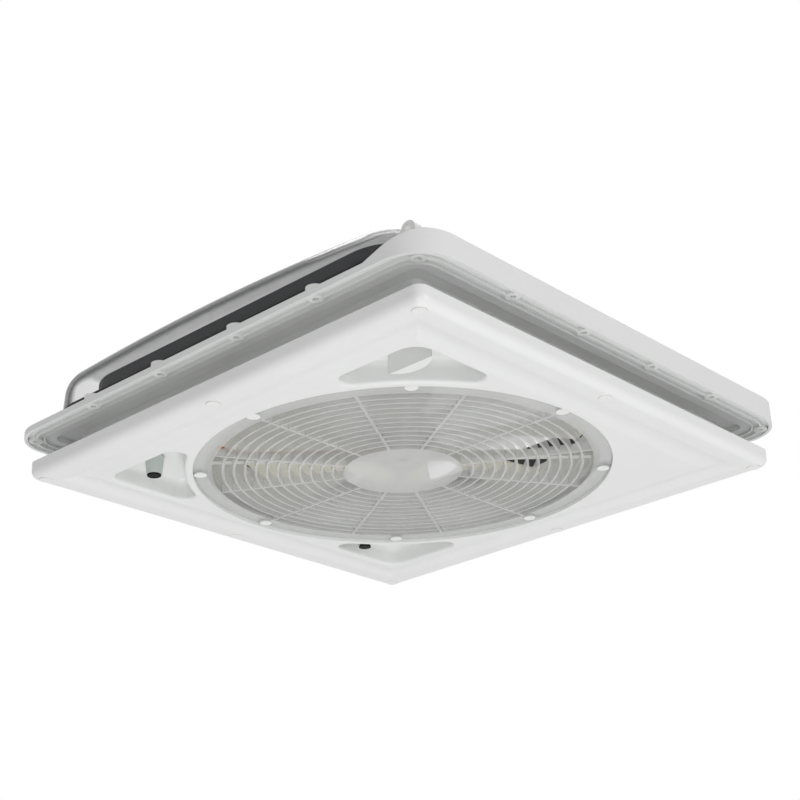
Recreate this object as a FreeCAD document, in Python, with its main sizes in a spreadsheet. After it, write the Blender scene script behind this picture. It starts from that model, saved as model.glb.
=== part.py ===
import FreeCAD, Part
import math
import os
import re
import Sketcher

# Caravan roof vent with fan. Millimetres, +Z up to the sky.
# The origin is the centre of the roof cut-out, in the plane where the flange meets the roof.
# +X points to the hinge side of the dome, -Y to the side of the crank handle.

Vector = FreeCAD.Vector
doc = FreeCAD.newDocument("caravan_roof_vent")

SIZES = {
    # outer frame
    "flange_half": 240.6, "flange_corner": 36.0, "flange_thick": 5.2,
    "lip_width": 3.0, "ridge_width": 2.0, "ridge_one_inset": 8.9, "ridge_two_inset": 16.1,
    "valley_depth": 3.0, "step_inset": 27.6, "step_depth": 6.0, "plate_wall": 3.0,
    "neck_half": 198.0, "neck_wall": 2.5, "neck_corner": 8.0, "neck_drop": 14.0,
    "window_low": -8.5, "window_side_top": 5.0, "window_end_top": 2.2,
    "window_reach": 188.0, "window_short": 171.0, "window_rib": 3.0, "window_rib_pitch": 93.0,
    "collar_half": 200.0, "collar_front": 186.0, "collar_wall": 3.0, "collar_corner": 48.0,
    "collar_top": 46.0, "seal_over": 0.7, "seal_skirt": 32.0, "seal_top": 48.6,
    "wall_top": 20.0, "wall_thick": 2.5, "ramp_high_inset": 9.6, "ramp_low_inset": 54.6,
    "screw_inset": 7.8, "screw_near": 45.0, "screw_far": 131.0, "screw_corner_inset": 17.3,
    "screw_hole": 2.3, "boss_ring": 6.0, "boss_radius": 7.5, "boss_top": 9.2,
    "tray_boss": 185.0, "tray_boss_radius": 5.5, "tray_screw": 1.8,
    # inner trim
    "roof_gap": 20.3, "trim_depth": 15.0, "trim_half": 227.2, "trim_corner": 8.6,
    "rim_round": 7.6, "trim_wall": 2.5, "groove_line": 196.0, "groove_width": 26.8,
    "groove_depth": 3.0, "opening_radius": 180.0, "spigot_gap": 0.4, "spigot_wall": 2.0,
    "pocket_side": 178.6, "pocket_arc": 187.5, "pocket_depth": 20.0, "pocket_apex": 15.0,
    "pocket_end": 10.5, "pocket_mouth": 2.8, "pocket_floor": 8.0,
    "trim_screw_line": 216.0, "trim_screw_radius": 2.0, "cap_radius": 5.5, "cap_thick": 1.2,
    "cap_ring": 7.5, "cap_gap": 0.1,
    # grille
    "grille_gap": 0.6, "grille_recess": 1.6, "grille_edge_rise": 1.2, "grille_sheet": 2.2,
    "grille_slot_radius": 164.0, "grille_land": 168.0, "hub_radius": 51.4, "ring_wall": 2.2, "ring_depth": 9.0,
    "spoke_width": 2.6, "spoke_depth": 7.0, "stud_circle": 174.0,
    "stud_head": 5.5, "stud_shank": 1.9, "seat_inner": 170.0,
    # duct and fan
    "tray_gap": 0.3, "tray_low": -12.0, "tray_thick": 3.0, "duct_radius": 168.0,
    "duct_wall": 2.5, "duct_low": -23.6, "duct_top": 12.0, "fan_radius": 163.0,
    "fan_low": -5.0, "fan_high": 13.0, "fan_hub_radius": 30.0, "fan_hub_wall": 2.5,
    "blade_thick": 2.2, "motor_radius": 22.0, "motor_low": -21.0, "motor_high": 3.0,
    "motor_wall": 1.6, "shaft_radius": 3.0, "shaft_gap": 0.05, "bush_radius": 5.0,
    "bush_length": 4.0, "arm_low": -22.6, "arm_height": 6.6, "arm_width": 7.0,
    "cup_wall": 2.0, "lead_radius": 1.1,
    # controls
    "knob_place": 151.0, "knob_top_radius": 8.4, "knob_low_radius": 6.7, "knob_cap_radius": 6.0,
    "knob_stem": 3.0, "knob_recess": 1.8, "knob_cap_thick": 1.2, "button_x": -163.0,
    "button_y": 121.0, "button_recess": 3.0, "button_radius": 5.8, "button_rod": 4.6,
    "button_travel": 1.8, "rail_reach": 122.0, "rail_length": 240.0, "rail_height": 60.0,
    "board_low": -3.0, "board_thick": 1.6, "board_near": 130.0, "board_far": 176.0,
    # crank and gearbox
    "crank_place": 152.0, "grip_length": 43.4, "grip_thick": 11.0, "grip_flat": 4.0,
    "crank_base": 15.0, "crank_base_thick": 2.0, "spindle_radius": 4.0, "spindle_gap": 0.05,
    "spindle_bush": 6.0, "box_front": 166.0, "box_back": 110.0, "box_inner": 140.0,
    "box_outer": 164.0, "box_top": 51.5, "box_wall": 2.0, "wheel_x": 122.0, "wheel_z": 27.0,
    "wheel_pitch_radius": 21.6, "tooth_depth": 2.6, "wheel_width": 6.0, "wheel_teeth": 24,
    "lift_arm_thick": 4.0, "lift_arm_width": 11.0, "tip_x": -40.0, "tip_z": 58.0,
    "tip_radius": 3.0, "slot_clearance": 0.3, "rail_thick": 3.0, "rail_gap": 3.0,
    # dome and hinge
    "dome_low": 22.0, "dome_rear": 220.0, "dome_front": 202.0, "dome_side": 220.0,
    "dome_corner": 41.0, "dome_draft": 5.0, "dome_crown": 74.6, "crown_radius": 2350.0,
    "crown_shift": -52.0, "shoulder": 25.0, "dome_wall": 2.5, "hinge_x": 205.0,
    "hinge_z": 36.0, "hinge_pin": 3.0, "knuckle_radius": 6.0, "knuckle_inner": 190.0,
    "knuckle_outer": 204.0, "bracket_thick": 8.0, "bracket_radius": 7.0, "side_gap": 0.4,
}
OPEN_ANGLE = 45.0
ARM_RATIO = 1.47

sheet = doc.addObject("Spreadsheet::Sheet", "Sizes")
for row, (alias, number) in enumerate(SIZES.items(), start=1):
    sheet.set("A%d" % row, alias)
    sheet.set("B%d" % row, str(number))
    sheet.setAlias("B%d" % row, alias)
doc.recompute()

FACE = "(-roof_gap - trim_depth)"
GRILLE_LOW = "(-roof_gap - trim_depth + grille_recess)"
STUD_SEAT = "(-roof_gap - trim_depth + grille_recess + grille_edge_rise / 2 + 0.4)"
INNER_FACE = "(-roof_gap - trim_depth + trim_wall)"
POCKET_FLOOR = "(-roof_gap - trim_depth + pocket_depth)"
TRAY_TOP = "(tray_low + tray_thick)"
WORD = re.compile(r"[a-z][a-z_0-9]*")
AXES = {
    "X": FreeCAD.Rotation(Vector(0, 1, 0), 90),
    "Y": FreeCAD.Rotation(Vector(1, 0, 0), -90),
    "Z": FreeCAD.Rotation(),
    "side": FreeCAD.Rotation(Vector(1, 0, 0), 90),
    "between spokes": FreeCAD.Rotation(Vector(0, 0, 1), 15),
}


def size(alias):
    """Value of one driving dimension."""
    return float(sheet.get(alias))


def formula(text):
    """Put the sheet's name before each driving dimension in a formula."""
    return WORD.sub(lambda m: "Sizes." + m.group() if m.group() in SIZES else m.group(), str(text))


def bind(item, fields):
    for field, text in fields.items():
        item.setExpression(field, formula(text))


def place(item, x, y, z, axis="Z"):
    item.Placement = FreeCAD.Placement(Vector(0, 0, 0), AXES[axis])
    bind(item, {"Placement.Base.x": x, "Placement.Base.y": y, "Placement.Base.z": z})
    return item


def box(name, low, lengths):
    """Box from its low corner and its three lengths."""
    item = doc.addObject("Part::Box", name)
    bind(item, dict(zip(("Length", "Width", "Height"), lengths)))
    return place(item, *low)


def cylinder(name, radius, height, at, axis="Z"):
    item = doc.addObject("Part::Cylinder", name)
    bind(item, {"Radius": radius, "Height": height})
    return place(item, *at, axis)


def cone(name, low_radius, high_radius, height, at):
    item = doc.addObject("Part::Cone", name)
    bind(item, {"Radius1": low_radius, "Radius2": high_radius, "Height": height})
    return place(item, *at)


def cut(name, base, *tools):
    item = doc.addObject("Part::Cut", name)
    item.Base = base
    item.Tool = tools[0] if len(tools) == 1 else fuse(name + "_tools", *tools)
    return item


def fuse(name, *pieces):
    item = doc.addObject("Part::MultiFuse", name)
    item.Shapes = list(pieces)
    return item


def common(name, *pieces):
    item = doc.addObject("Part::MultiCommon", name)
    item.Shapes = list(pieces)
    return item


def group(name, *pieces):
    """Separate solids that share one node."""
    item = doc.addObject("Part::Compound", name)
    item.Links = list(pieces)
    return item


def tube(name, radius, inner, height, at, axis="Z"):
    outside = cylinder(name + "_outside", radius, height, at, axis)
    inside = cylinder(name + "_inside", inner, height, at, axis)
    return cut(name, outside, inside)


def shape_part(name, shape, at=Vector(0, 0, 0), axis=Vector(0, 0, 1), angle=0.0):
    """Sub-part whose shape is worked out from the sheet in code."""
    item = doc.addObject("Part::Feature", name)
    item.Shape = shape
    item.Placement = FreeCAD.Placement(at, FreeCAD.Rotation(axis, angle))
    return item


def rounded_sketch(name, x_low, x_high, y_half, corner, z):
    """Rectangle with round corners, from x_low to x_high and y_half each way."""
    sketch = doc.addObject("Sketcher::SketchObject", name)
    near, far, turn = 100.0, 90.0, 10.0
    middles = ((far, near), (near, -far), (-far, -near), (-near, far))
    lines = (((-far, near), (far, near)), ((near, far), (near, -far)),
             ((far, -near), (-far, -near)), ((-near, -far), (-near, far)))
    for start, end in lines:
        sketch.addGeometry(Part.LineSegment(Vector(*start, 0), Vector(*end, 0)), False)
    centres = ((far, far, 0, 90), (far, -far, 270, 360), (-far, -far, 180, 270), (-far, far, 90, 180))
    for x, y, begin, end in centres:
        circle = Part.Circle(Vector(x, y, 0), Vector(0, 0, 1), turn)
        sketch.addGeometry(Part.ArcOfCircle(circle, math.radians(begin), math.radians(end)), False)
    tangents = ((0, 2, 4, 2), (4, 1, 1, 1), (1, 2, 5, 2), (5, 1, 2, 1),
                (2, 2, 6, 2), (6, 1, 3, 1), (3, 2, 7, 2), (7, 1, 0, 1))
    for first, first_end, second, second_end in tangents:
        sketch.addConstraint(Sketcher.Constraint("Tangent", first, first_end, second, second_end))
    sketch.addConstraint(Sketcher.Constraint("Horizontal", 0))
    sketch.addConstraint(Sketcher.Constraint("Vertical", 1))
    sketch.addConstraint(Sketcher.Constraint("Horizontal", 2))
    sketch.addConstraint(Sketcher.Constraint("Vertical", 3))
    for arc in (5, 6, 7):
        sketch.addConstraint(Sketcher.Constraint("Equal", 4, arc))
    driven = (("corner", Sketcher.Constraint("Radius", 4, turn), corner),
              ("top", Sketcher.Constraint("DistanceY", -1, 1, 0, 1, near), y_half),
              ("bottom", Sketcher.Constraint("DistanceY", 2, 1, -1, 1, near), y_half),
              ("right", Sketcher.Constraint("DistanceX", -1, 1, 1, 1, near), x_high),
              ("left", Sketcher.Constraint("DistanceX", 3, 1, -1, 1, near), "-(%s)" % x_low))
    for label, constraint, text in driven:
        number = sketch.addConstraint(constraint)
        sketch.renameConstraint(number, label)
        sketch.setExpression("Constraints." + label, formula(text))
    return place(sketch, "0", "0", z)


def slab(name, x_low, x_high, y_half, corner, z, height, draft="0"):
    """Plate with round upright corners; draft leans its walls inwards."""
    item = doc.addObject("Part::Extrusion", name)
    item.Base = rounded_sketch(name + "_outline", x_low, x_high, y_half, corner, z)
    item.DirMode = "Normal"
    item.Solid = True
    bind(item, {"LengthFwd": height, "TaperAngle": "-(%s)" % draft})
    return item


def square(name, half, corner, z, height):
    return slab(name, "-(%s)" % half, half, half, corner, z, height)


def polygon(name, points):
    """Closed outline whose corners are pairs of formulas."""
    sketch = doc.addObject("Sketcher::SketchObject", name)
    count = len(points)
    turns = [2 * math.pi * number / count for number in range(count)]
    guesses = [Vector(100 * math.cos(turn), 100 * math.sin(turn), 0) for turn in turns]
    for number in range(count):
        sketch.addGeometry(Part.LineSegment(guesses[number], guesses[(number + 1) % count]), False)
    for number in range(count):
        following = (number + 1) % count
        sketch.addConstraint(Sketcher.Constraint("Coincident", number, 2, following, 1))
    for number, (first, second) in enumerate(points):
        for letter, kind, text in (("x", "DistanceX", first), ("y", "DistanceY", second)):
            index = sketch.addConstraint(Sketcher.Constraint(kind, -1, 1, number, 1, 1.0))
            label = "%s%d" % (letter, number)
            sketch.renameConstraint(index, label)
            sketch.setExpression("Constraints." + label, formula(text))
    return sketch


def prism(name, points, low, length):
    """Extrusion along Y, from y = low, of a polygon of (x, z) corners."""
    sketch = polygon(name + "_outline", points)
    sketch.Placement = FreeCAD.Placement(Vector(0, 0, 0), AXES["side"])
    bind(sketch, {"Placement.Base.y": "(%s) + (%s)" % (low, length)})
    item = doc.addObject("Part::Extrusion", name)
    item.Base = sketch
    item.DirMode = "Normal"
    item.Solid = True
    bind(item, {"LengthFwd": length})
    return item


def turned(name, points):
    """Body turned about the Z axis from a polygon of (radius, z) corners."""
    sketch = polygon(name + "_outline", points)
    sketch.Placement = FreeCAD.Placement(Vector(0, 0, 0), AXES["side"])
    item = doc.addObject("Part::Revolution", name)
    item.Source = sketch
    item.Axis = Vector(0, 0, 1)
    item.Angle = 360
    item.Solid = True
    return item


def rounded(name, base, radius, wanted):
    """Fillet on the edges of base for which wanted(edge) is true."""
    doc.recompute()
    item = doc.addObject("Part::Fillet", name)
    item.Base = base
    edges = [(number, radius, radius) for number, edge in enumerate(base.Shape.Edges, start=1) if wanted(edge)]
    item.Edges = edges
    return item


def flat_at(z):
    """Test for edges that lie in the level plane z."""
    return lambda edge: abs(edge.BoundBox.ZMin - z) < 0.01 and abs(edge.BoundBox.ZMax - z) < 0.01


def around(count, start=0.0):
    """Angles of count places round a circle, in degrees."""
    return [start + 360.0 * number / count for number in range(count)]


def polar(radius, angle):
    """Formulas for a point at this radius formula and angle."""
    return "(%s) * cos(%s)" % (radius, angle), "(%s) * sin(%s)" % (radius, angle)


def name_part(item, label):
    item.Label = label
    parts.append(item)
    return item


parts = []


def outer_frame():
    """Flange, kerb wall, screw bosses, neck and upstand in one white moulding."""
    sheet_half = "flange_half - lip_width"
    plate = square("flange_plate", "flange_half", "flange_corner", "0", "flange_thick")
    raised = square("raised_plate", "flange_half - step_inset + plate_wall",
                    "flange_corner - step_inset + plate_wall", "0", "step_depth + plate_wall")
    wall = square("tall_wall_block", "flange_half", "flange_corner", "0", "wall_top")
    wall_core = square("tall_wall_core", "flange_half - wall_thick", "flange_corner - wall_thick",
                       "flange_thick", "wall_top")
    ramp = prism("wall_ramp", (("-2 * flange_half", "flange_thick"),
                               ("flange_half - ramp_low_inset", "flange_thick"),
                               ("flange_half - ramp_high_inset", "wall_top"),
                               ("flange_half - ramp_high_inset", "2 * wall_top"),
                               ("-2 * flange_half", "2 * wall_top")), "-2 * flange_half", "4 * flange_half")
    kerb = cut("tall_wall", wall, wall_core, ramp)
    neck = square("neck_block", "neck_half", "neck_corner", "-neck_drop", "neck_drop + step_depth + plate_wall")
    collar = slab("collar_block", "-collar_half", "collar_front", "collar_half", "collar_corner",
                  "step_depth", "collar_top - step_depth")
    bosses = []
    holes = []
    for number, (x, y) in enumerate(screw_places()):
        bosses.append(cylinder("boss%d" % number, "boss_radius", "boss_top - valley_depth", (x, y, "valley_depth")))
        bosses.append(cylinder("boss_ring%d" % number, "boss_ring", "boss_top", (x, y, "0")))
        holes.append(cylinder("screw_hole%d" % number, "screw_hole", "2 * boss_top", (x, y, "-boss_top / 2")))
    tray_bosses = []
    for number, angle in enumerate(around(4, 45.0)):
        x, y = polar("tray_boss * sqrt(2)", angle)
        at = (x, y, TRAY_TOP)
        tray_bosses.append(cylinder("tray_boss%d" % number, "tray_boss_radius", "step_depth - " + TRAY_TOP, at))
        holes.append(cylinder("tray_hole%d" % number, "tray_screw", "step_depth - " + TRAY_TOP, at))
    inside_neck = square("inside_neck", "neck_half - neck_wall", "neck_corner - neck_wall",
                         "-2 * neck_drop", "2 * neck_drop + step_depth")
    inside_collar = slab("inside_collar", "collar_wall - collar_half", "collar_front - collar_wall",
                         "collar_half - collar_wall", "collar_corner - collar_wall", "0", "2 * collar_top")
    under = "-valley_depth"
    deep = "2 * valley_depth"
    valley_one = cut("valley_one", square("valley_one_out", sheet_half, "flange_corner - lip_width", under, deep),
                     inset_square("valley_one_in", "ridge_one_inset", under, deep))
    valley_two = cut("valley_two", inset_square("valley_two_out", "ridge_one_inset + ridge_width", under, deep),
                     inset_square("valley_two_in", "ridge_two_inset", under, deep))
    recess_out = inset_square("recess_out", "ridge_two_inset + ridge_width", under, "5 / 3 * valley_depth")
    step = inset_square("step_recess", "step_inset", "-step_depth", "2 * step_depth")
    neck_keep = square("neck_keep", "neck_half", "neck_corner", "-2 * neck_drop", "2 * neck_drop + step_depth")
    windows = neck_windows()
    shell = fuse("frame_shell", plate, raised, kerb, collar)
    recess = cut("recess_ring", fuse("recess_all", recess_out, step), neck_keep)
    hollow = cut("frame_hollow", shell, valley_one, valley_two, recess, inside_collar)
    neck_tube = cut("neck_tube", neck, inside_neck, inside_collar, *windows)
    whole = fuse("frame_whole", hollow, neck_tube, *bosses, *tray_bosses)
    name_part(cut("outer_frame_body", whole, *holes), "outer_frame")


def inset_square(name, inset, z, height):
    """Square plate that follows the flange's outline at a distance inside it."""
    return square(name, "flange_half - (%s)" % inset, "flange_corner - (%s)" % inset, z, height)


def screw_places():
    """Formulas for the twenty roof screws: four corners and four on each side."""
    corner = "(flange_half - screw_corner_inset)"
    line = "(flange_half - screw_inset)"
    places = [("%d * %s" % (sx, corner), "%d * %s" % (sy, corner)) for sx in (-1, 1) for sy in (-1, 1)]
    for along in ("screw_near", "screw_far"):
        for sx in (-1, 1):
            for sy in (-1, 1):
                places.append(("%d * %s" % (sx, along), "%d * %s" % (sy, line)))
                places.append(("%d * %s" % (sx, line), "%d * %s" % (sy, along)))
    return places


def neck_windows():
    """Long openings in the neck, with ribs across the two side ones."""
    tools = []
    for side in (-1, 1):
        low = "%s - 2 * neck_wall" % ("-neck_half" if side < 0 else "neck_half")
        edges = ["-window_reach", "-window_rib_pitch", "0", "window_rib_pitch", "window_short"]
        for number in range(4):
            start = "%s + window_rib / 2" % edges[number] if number else edges[number]
            end = "%s - window_rib / 2" % edges[number + 1] if number < 3 else edges[number + 1]
            tools.append(box("side_window%d_%d" % (side + 1, number), (start, low, "window_low"),
                             ("(%s) - (%s)" % (end, start), "4 * neck_wall", "window_side_top - window_low")))
        low_x = "%s - 2 * neck_wall" % ("-neck_half" if side < 0 else "neck_half")
        tools.append(box("end_window%d" % (side + 1), (low_x, "-window_short", "window_low"),
                         ("4 * neck_wall", "2 * window_short", "window_end_top - window_low")))
    return tools


def collar_seal():
    """Rubber channel pushed over the top edge of the upstand."""
    low = "collar_top - seal_skirt"
    height = "seal_top - collar_top + seal_skirt"
    outside = slab("seal_outside", "-collar_half - seal_over", "collar_front + seal_over",
                   "collar_half + seal_over", "collar_corner + seal_over", low, height)
    inner = "collar_wall + seal_over"
    inside = slab("seal_inside", "%s - collar_half" % inner, "collar_front - (%s)" % inner,
                  "collar_half - (%s)" % inner, "collar_corner - (%s)" % inner, low, height)
    groove_out = slab("seal_groove_out", "-collar_half", "collar_front", "collar_half", "collar_corner",
                      low, "seal_skirt")
    groove_in = slab("seal_groove_in", "collar_wall - collar_half", "collar_front - collar_wall",
                     "collar_half - collar_wall", "collar_corner - collar_wall", low, "seal_skirt")
    name_part(cut("collar_seal_body", outside, inside, cut("seal_groove", groove_out, groove_in)), "collar_seal")


def dome():
    """Smoked cover: leaning walls, a wide shoulder and a crown that is part of a large ball."""
    outer = dome_solid("dome_outer", "0")
    inner = dome_solid("dome_inner", "dome_wall")
    knuckles = []
    bores = []
    for side in (-1, 1):
        y = "%s" % ("-knuckle_outer" if side < 0 else "knuckle_inner")
        length = "knuckle_outer - knuckle_inner"
        at = ("hinge_x", y, "hinge_z")
        knuckles.append(cylinder("knuckle%d" % (side + 1), "knuckle_radius", length, at, "Y"))
        web = box("knuckle_web%d" % (side + 1), ("hinge_x - 3 * knuckle_radius", y, "hinge_z - knuckle_radius"),
                  ("3 * knuckle_radius", length, "2 * knuckle_radius"))
        knuckles.append(web)
        bores.append(cylinder("knuckle_bore%d" % (side + 1), "hinge_pin + shaft_gap", "2 * knuckle_outer",
                              ("hinge_x", "-2 * knuckle_outer" if side < 0 else "0", "hinge_z"), "Y"))
    body = fuse("dome_with_knuckles", outer, *knuckles)
    name_part(cut("dome_body", body, inner, *bores), "dome")
    return inner


def dome_solid(name, inset):
    """Solid of the dome's outside, or of its inside when inset is the wall."""
    walls = slab(name + "_walls", "-(dome_rear - %s)" % inset, "dome_front - %s" % inset,
                 "dome_side - %s" % inset, "dome_corner - %s" % inset, "dome_low",
                 "dome_crown - dome_low + shoulder", "dome_draft")
    ball = doc.addObject("Part::Sphere", name + "_ball")
    bind(ball, {"Radius": "crown_radius - %s" % inset})
    place(ball, "crown_shift", "0", "dome_crown - crown_radius")
    capped = common(name + "_capped", walls, ball)
    doc.recompute()
    top_faces = [face for face in capped.Shape.Faces if "Sphere" in str(face.Surface)]
    radius = size("shoulder") - (size("dome_wall") if inset != "0" else 0.0)
    crown_edges = [edge for face in top_faces for edge in face.Edges]
    return rounded(name, capped, radius, lambda edge: any(edge.isSame(other) for other in crown_edges))


def hinge_parts():
    """Bracket posts on the flange, with the pins that carry the dome's knuckles."""
    posts = []
    pins = []
    for side in (-1, 1):
        low = "-knuckle_outer - side_gap - bracket_thick" if side < 0 else "knuckle_outer + side_gap"
        post = box("bracket_post%d" % (side + 1), ("hinge_x - bracket_radius", low, "flange_thick"),
                   ("2 * bracket_radius", "bracket_thick", "hinge_z - flange_thick"))
        top = cylinder("bracket_top%d" % (side + 1), "bracket_radius", "bracket_thick",
                       ("hinge_x", low, "hinge_z"), "Y")
        foot = box("bracket_foot%d" % (side + 1), ("hinge_x - bracket_radius", low, "step_depth + plate_wall"),
                   ("3 * bracket_radius", "bracket_thick", "3"))
        hole = cylinder("bracket_hole%d" % (side + 1), "hinge_pin", "bracket_thick", ("hinge_x", low, "hinge_z"), "Y")
        posts.append(cut("bracket%d" % (side + 1), fuse("bracket_solid%d" % (side + 1), post, top, foot), hole))
        pin_low = "-knuckle_outer - side_gap - bracket_thick" if side < 0 else "knuckle_inner + 1"
        pin_length = "bracket_thick + side_gap + knuckle_outer - knuckle_inner - 1"
        pins.append(cylinder("pin%d" % (side + 1), "hinge_pin", pin_length, ("hinge_x", pin_low, "hinge_z"), "Y"))
    raised = doc.getObject("raised_plate")
    brackets = group("bracket_pair", *[cut("bracket_seated%d" % number, post, raised)
                                       for number, post in enumerate(posts)])
    name_part(brackets, "hinge_brackets")
    name_part(group("pin_pair", *pins), "hinge_pins")


def trim_frame():
    """Inner trim: rounded rim, square groove, round opening, pockets and a square spigot."""
    pan = rounded("pan_outside", square("pan_block", "trim_half", "trim_corner", FACE, "trim_depth"),
                  size("rim_round"), flat_at(-size("roof_gap") - size("trim_depth")))
    inner_round = size("rim_round") - size("trim_wall")
    hollow = rounded("pan_inside", square("pan_hollow", "trim_half - trim_wall", "trim_corner - trim_wall",
                                          INNER_FACE, "trim_depth"), inner_round,
                     flat_at(-size("roof_gap") - size("trim_depth") + size("trim_wall")))
    shell = cut("pan_shell", pan, hollow)
    groove_skin = groove_ring("groove_skin", size("trim_wall"))
    groove = groove_ring("groove_cut", 0.0)
    skins = []
    hollows = []
    for number, (sx, sy) in enumerate(((1, -1), (-1, -1), (-1, 1))):
        skins.append(pocket("pocket_skin%d" % number, sx, sy, size("trim_wall")))
        hollows.append(pocket("pocket_cut%d" % number, sx, sy, 0.0))
    spigot_half = "neck_half - neck_wall - spigot_gap"
    spigot_height = "tray_low - tray_gap - " + INNER_FACE
    spigot_corner = "neck_corner - neck_wall - spigot_gap"
    spigot_out = square("spigot_out", spigot_half, spigot_corner, INNER_FACE, spigot_height)
    spigot_in = square("spigot_in", spigot_half + " - spigot_wall", spigot_corner + " - spigot_wall",
                       INNER_FACE, spigot_height)
    spigot = cut("spigot", spigot_out, spigot_in)
    seat_low = GRILLE_LOW + " + grille_edge_rise + grille_sheet"
    collar_height = "grille_recess + grille_edge_rise + 2 * grille_sheet"
    opening_wall = cylinder("opening_wall", "opening_radius + trim_wall", collar_height, ("0", "0", FACE))
    opening = cylinder("opening", "opening_radius", "4 * trim_depth", ("0", "0", FACE + " - trim_depth"))
    seat = tube("grille_seat", "opening_radius + trim_wall", "seat_inner", "grille_sheet", ("0", "0", seat_low))
    holes = []
    bosses = []
    for number, (x, y) in enumerate(trim_screw_places()):
        bosses.append(cylinder("trim_boss%d" % number, "cap_ring", "3.5 * trim_wall", (x, y, INNER_FACE)))
        holes.append(cylinder("trim_hole%d" % number, "trim_screw_radius", "2 * trim_depth", (x, y, FACE)))
        holes.append(cylinder("cap_seat%d" % number, "cap_radius + cap_gap", "trim_depth",
                              (x, y, FACE + " + 2.4 * trim_wall - trim_depth")))
    for number, angle in enumerate(around(8)):
        x, y = polar("stud_circle", angle)
        holes.append(cylinder("stud_hole%d" % number, "stud_shank", "trim_depth", (x, y, FACE)))
    for label, radius, x, y in (("crank", "spindle_bush", "crank_place", "-crank_place"),
                                ("knob", "knob_stem + 1", "-knob_place", "-knob_place"),
                                ("button", "button_rod + 0.4", "button_x", "button_y")):
        holes.append(cylinder(label + "_way", radius, "pocket_depth", (x, y, POCKET_FLOOR + " - pocket_depth / 2")))
    posts = common("trim_boss_limit", fuse("trim_bosses", *bosses), pan)
    body = fuse("trim_body", shell, groove_skin, spigot, opening_wall, posts, *skins)
    drilled = cut("trim_cut", body, groove, opening, *hollows)
    name_part(cut("trim_frame_body", fuse("trim_with_seat", drilled, seat), *holes), "trim_frame")


def trim_screw_places():
    """Formulas for the eight capped screws: corners and middles of the sides."""
    return [("%d * trim_screw_line" % sx, "%d * trim_screw_line" % sy)
            for sx in (-1, 0, 1) for sy in (-1, 0, 1) if sx or sy]


def groove_ring(name, skin):
    """Square ring of the shallow groove in the trim's face, or of the skin over it."""
    line, half, deep = size("groove_line"), size("groove_width") / 2, size("groove_depth")
    face = -size("roof_gap") - size("trim_depth")
    half += skin * 0.6
    low = face - (0.0 if skin else 0.5)
    top = face + deep + skin
    quarter = Vector(0, line - half / 2, face + (deep + skin) / 2)
    slope = (deep + skin) / half
    mirror = Vector(0, line + half / 2, quarter.z)
    points = [Vector(0, line - half, face), quarter, Vector(0, line, top), mirror, Vector(0, line + half, face)]
    curve = Part.BSplineCurve()
    tangent = Vector(0, 1, 0)
    rise = Vector(0, 1, 2 * slope)
    fall = Vector(0, 1, -2 * slope)
    curve.interpolate(Points=points, Tangents=[tangent, rise, tangent, fall, tangent],
                      TangentFlags=[True] * 5)
    ends = [Part.LineSegment(points[-1], Vector(0, line + half, low)).toShape() if low < face else None,
            Part.LineSegment(Vector(0, line + half, low), Vector(0, line - half, low)).toShape(),
            Part.LineSegment(Vector(0, line - half, low), points[0]).toShape() if low < face else None]
    outline = Part.Wire([curve.toShape()] + [edge for edge in ends if edge])
    reach = line + half + 1
    bar = Part.Face(outline).extrude(Vector(2 * reach, 0, 0))
    bar.translate(Vector(-reach, 0, 0))
    corner = [Vector(0, 0, -200), Vector(reach, reach, -200), Vector(-reach, reach, -200), Vector(0, 0, -200)]
    wedge = Part.Face(Part.makePolygon(corner)).extrude(Vector(0, 0, 400))
    side = bar.common(wedge)
    sides = [side.copy().rotate(Vector(0, 0, 0), Vector(0, 0, 1), 90 * turn) for turn in range(4)]
    return shape_part(name, sides[0].multiFuse(sides[1:]).removeSplitter())


def pocket(name, sx, sy, skin):
    """Three-sided corner pocket: two sides along the trim, the third an arc round the grille."""
    face = -size("roof_gap") - size("trim_depth")
    height = size("pocket_depth") + skin
    block = Part.Face(pocket_outline(skin, face)).extrude(Vector(0, 0, height))
    top = face + height
    floor = [edge for edge in block.Edges if edge.BoundBox.ZMin > top - 0.01]
    block = block.makeFillet(size("pocket_floor") + skin, floor)
    if not skin:
        block = block.fuse(pocket_flare(block, face))
    turn = {(1, 1): 0, (-1, 1): 90, (-1, -1): 180, (1, -1): 270}[(sx, sy)]
    return shape_part(name, block, angle=turn)


def pocket_outline(skin, level):
    """Closed outline of a pocket: two sides, a round apex, two round ends and the grille's arc."""
    side = size("pocket_side") + skin
    arc = size("pocket_arc") - skin
    apex = size("pocket_apex") + skin
    end = size("pocket_end") + skin
    inner = side - end
    along = math.sqrt((arc + end) ** 2 - inner ** 2)
    share = arc / (arc + end)
    lean = math.radians(90) / 2 + (math.atan2(inner, along) + math.pi) / 2
    corner = side - apex + apex * math.sqrt(0.5)
    middle = arc * math.sqrt(0.5)
    far_end = Vector(along, inner, level)
    far_middle = far_end + Vector(math.cos(lean), math.sin(lean), 0) * end
    far_foot = Vector(along * share, inner * share, level)
    near_middle = Vector(far_middle.y, far_middle.x, level)
    near_foot = Vector(far_foot.y, far_foot.x, level)
    edges = [
        Part.LineSegment(Vector(side, along, level), Vector(side, side - apex, level)),
        Part.Arc(Vector(side, side - apex, level), Vector(corner, corner, level), Vector(side - apex, side, level)),
        Part.LineSegment(Vector(side - apex, side, level), Vector(along, side, level)),
        Part.Arc(Vector(along, side, level), far_middle, far_foot),
        Part.Arc(far_foot, Vector(middle, middle, level), near_foot),
        Part.Arc(near_foot, near_middle, Vector(side, along, level)),
    ]
    return Part.Wire([edge.toShape() for edge in edges])


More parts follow.
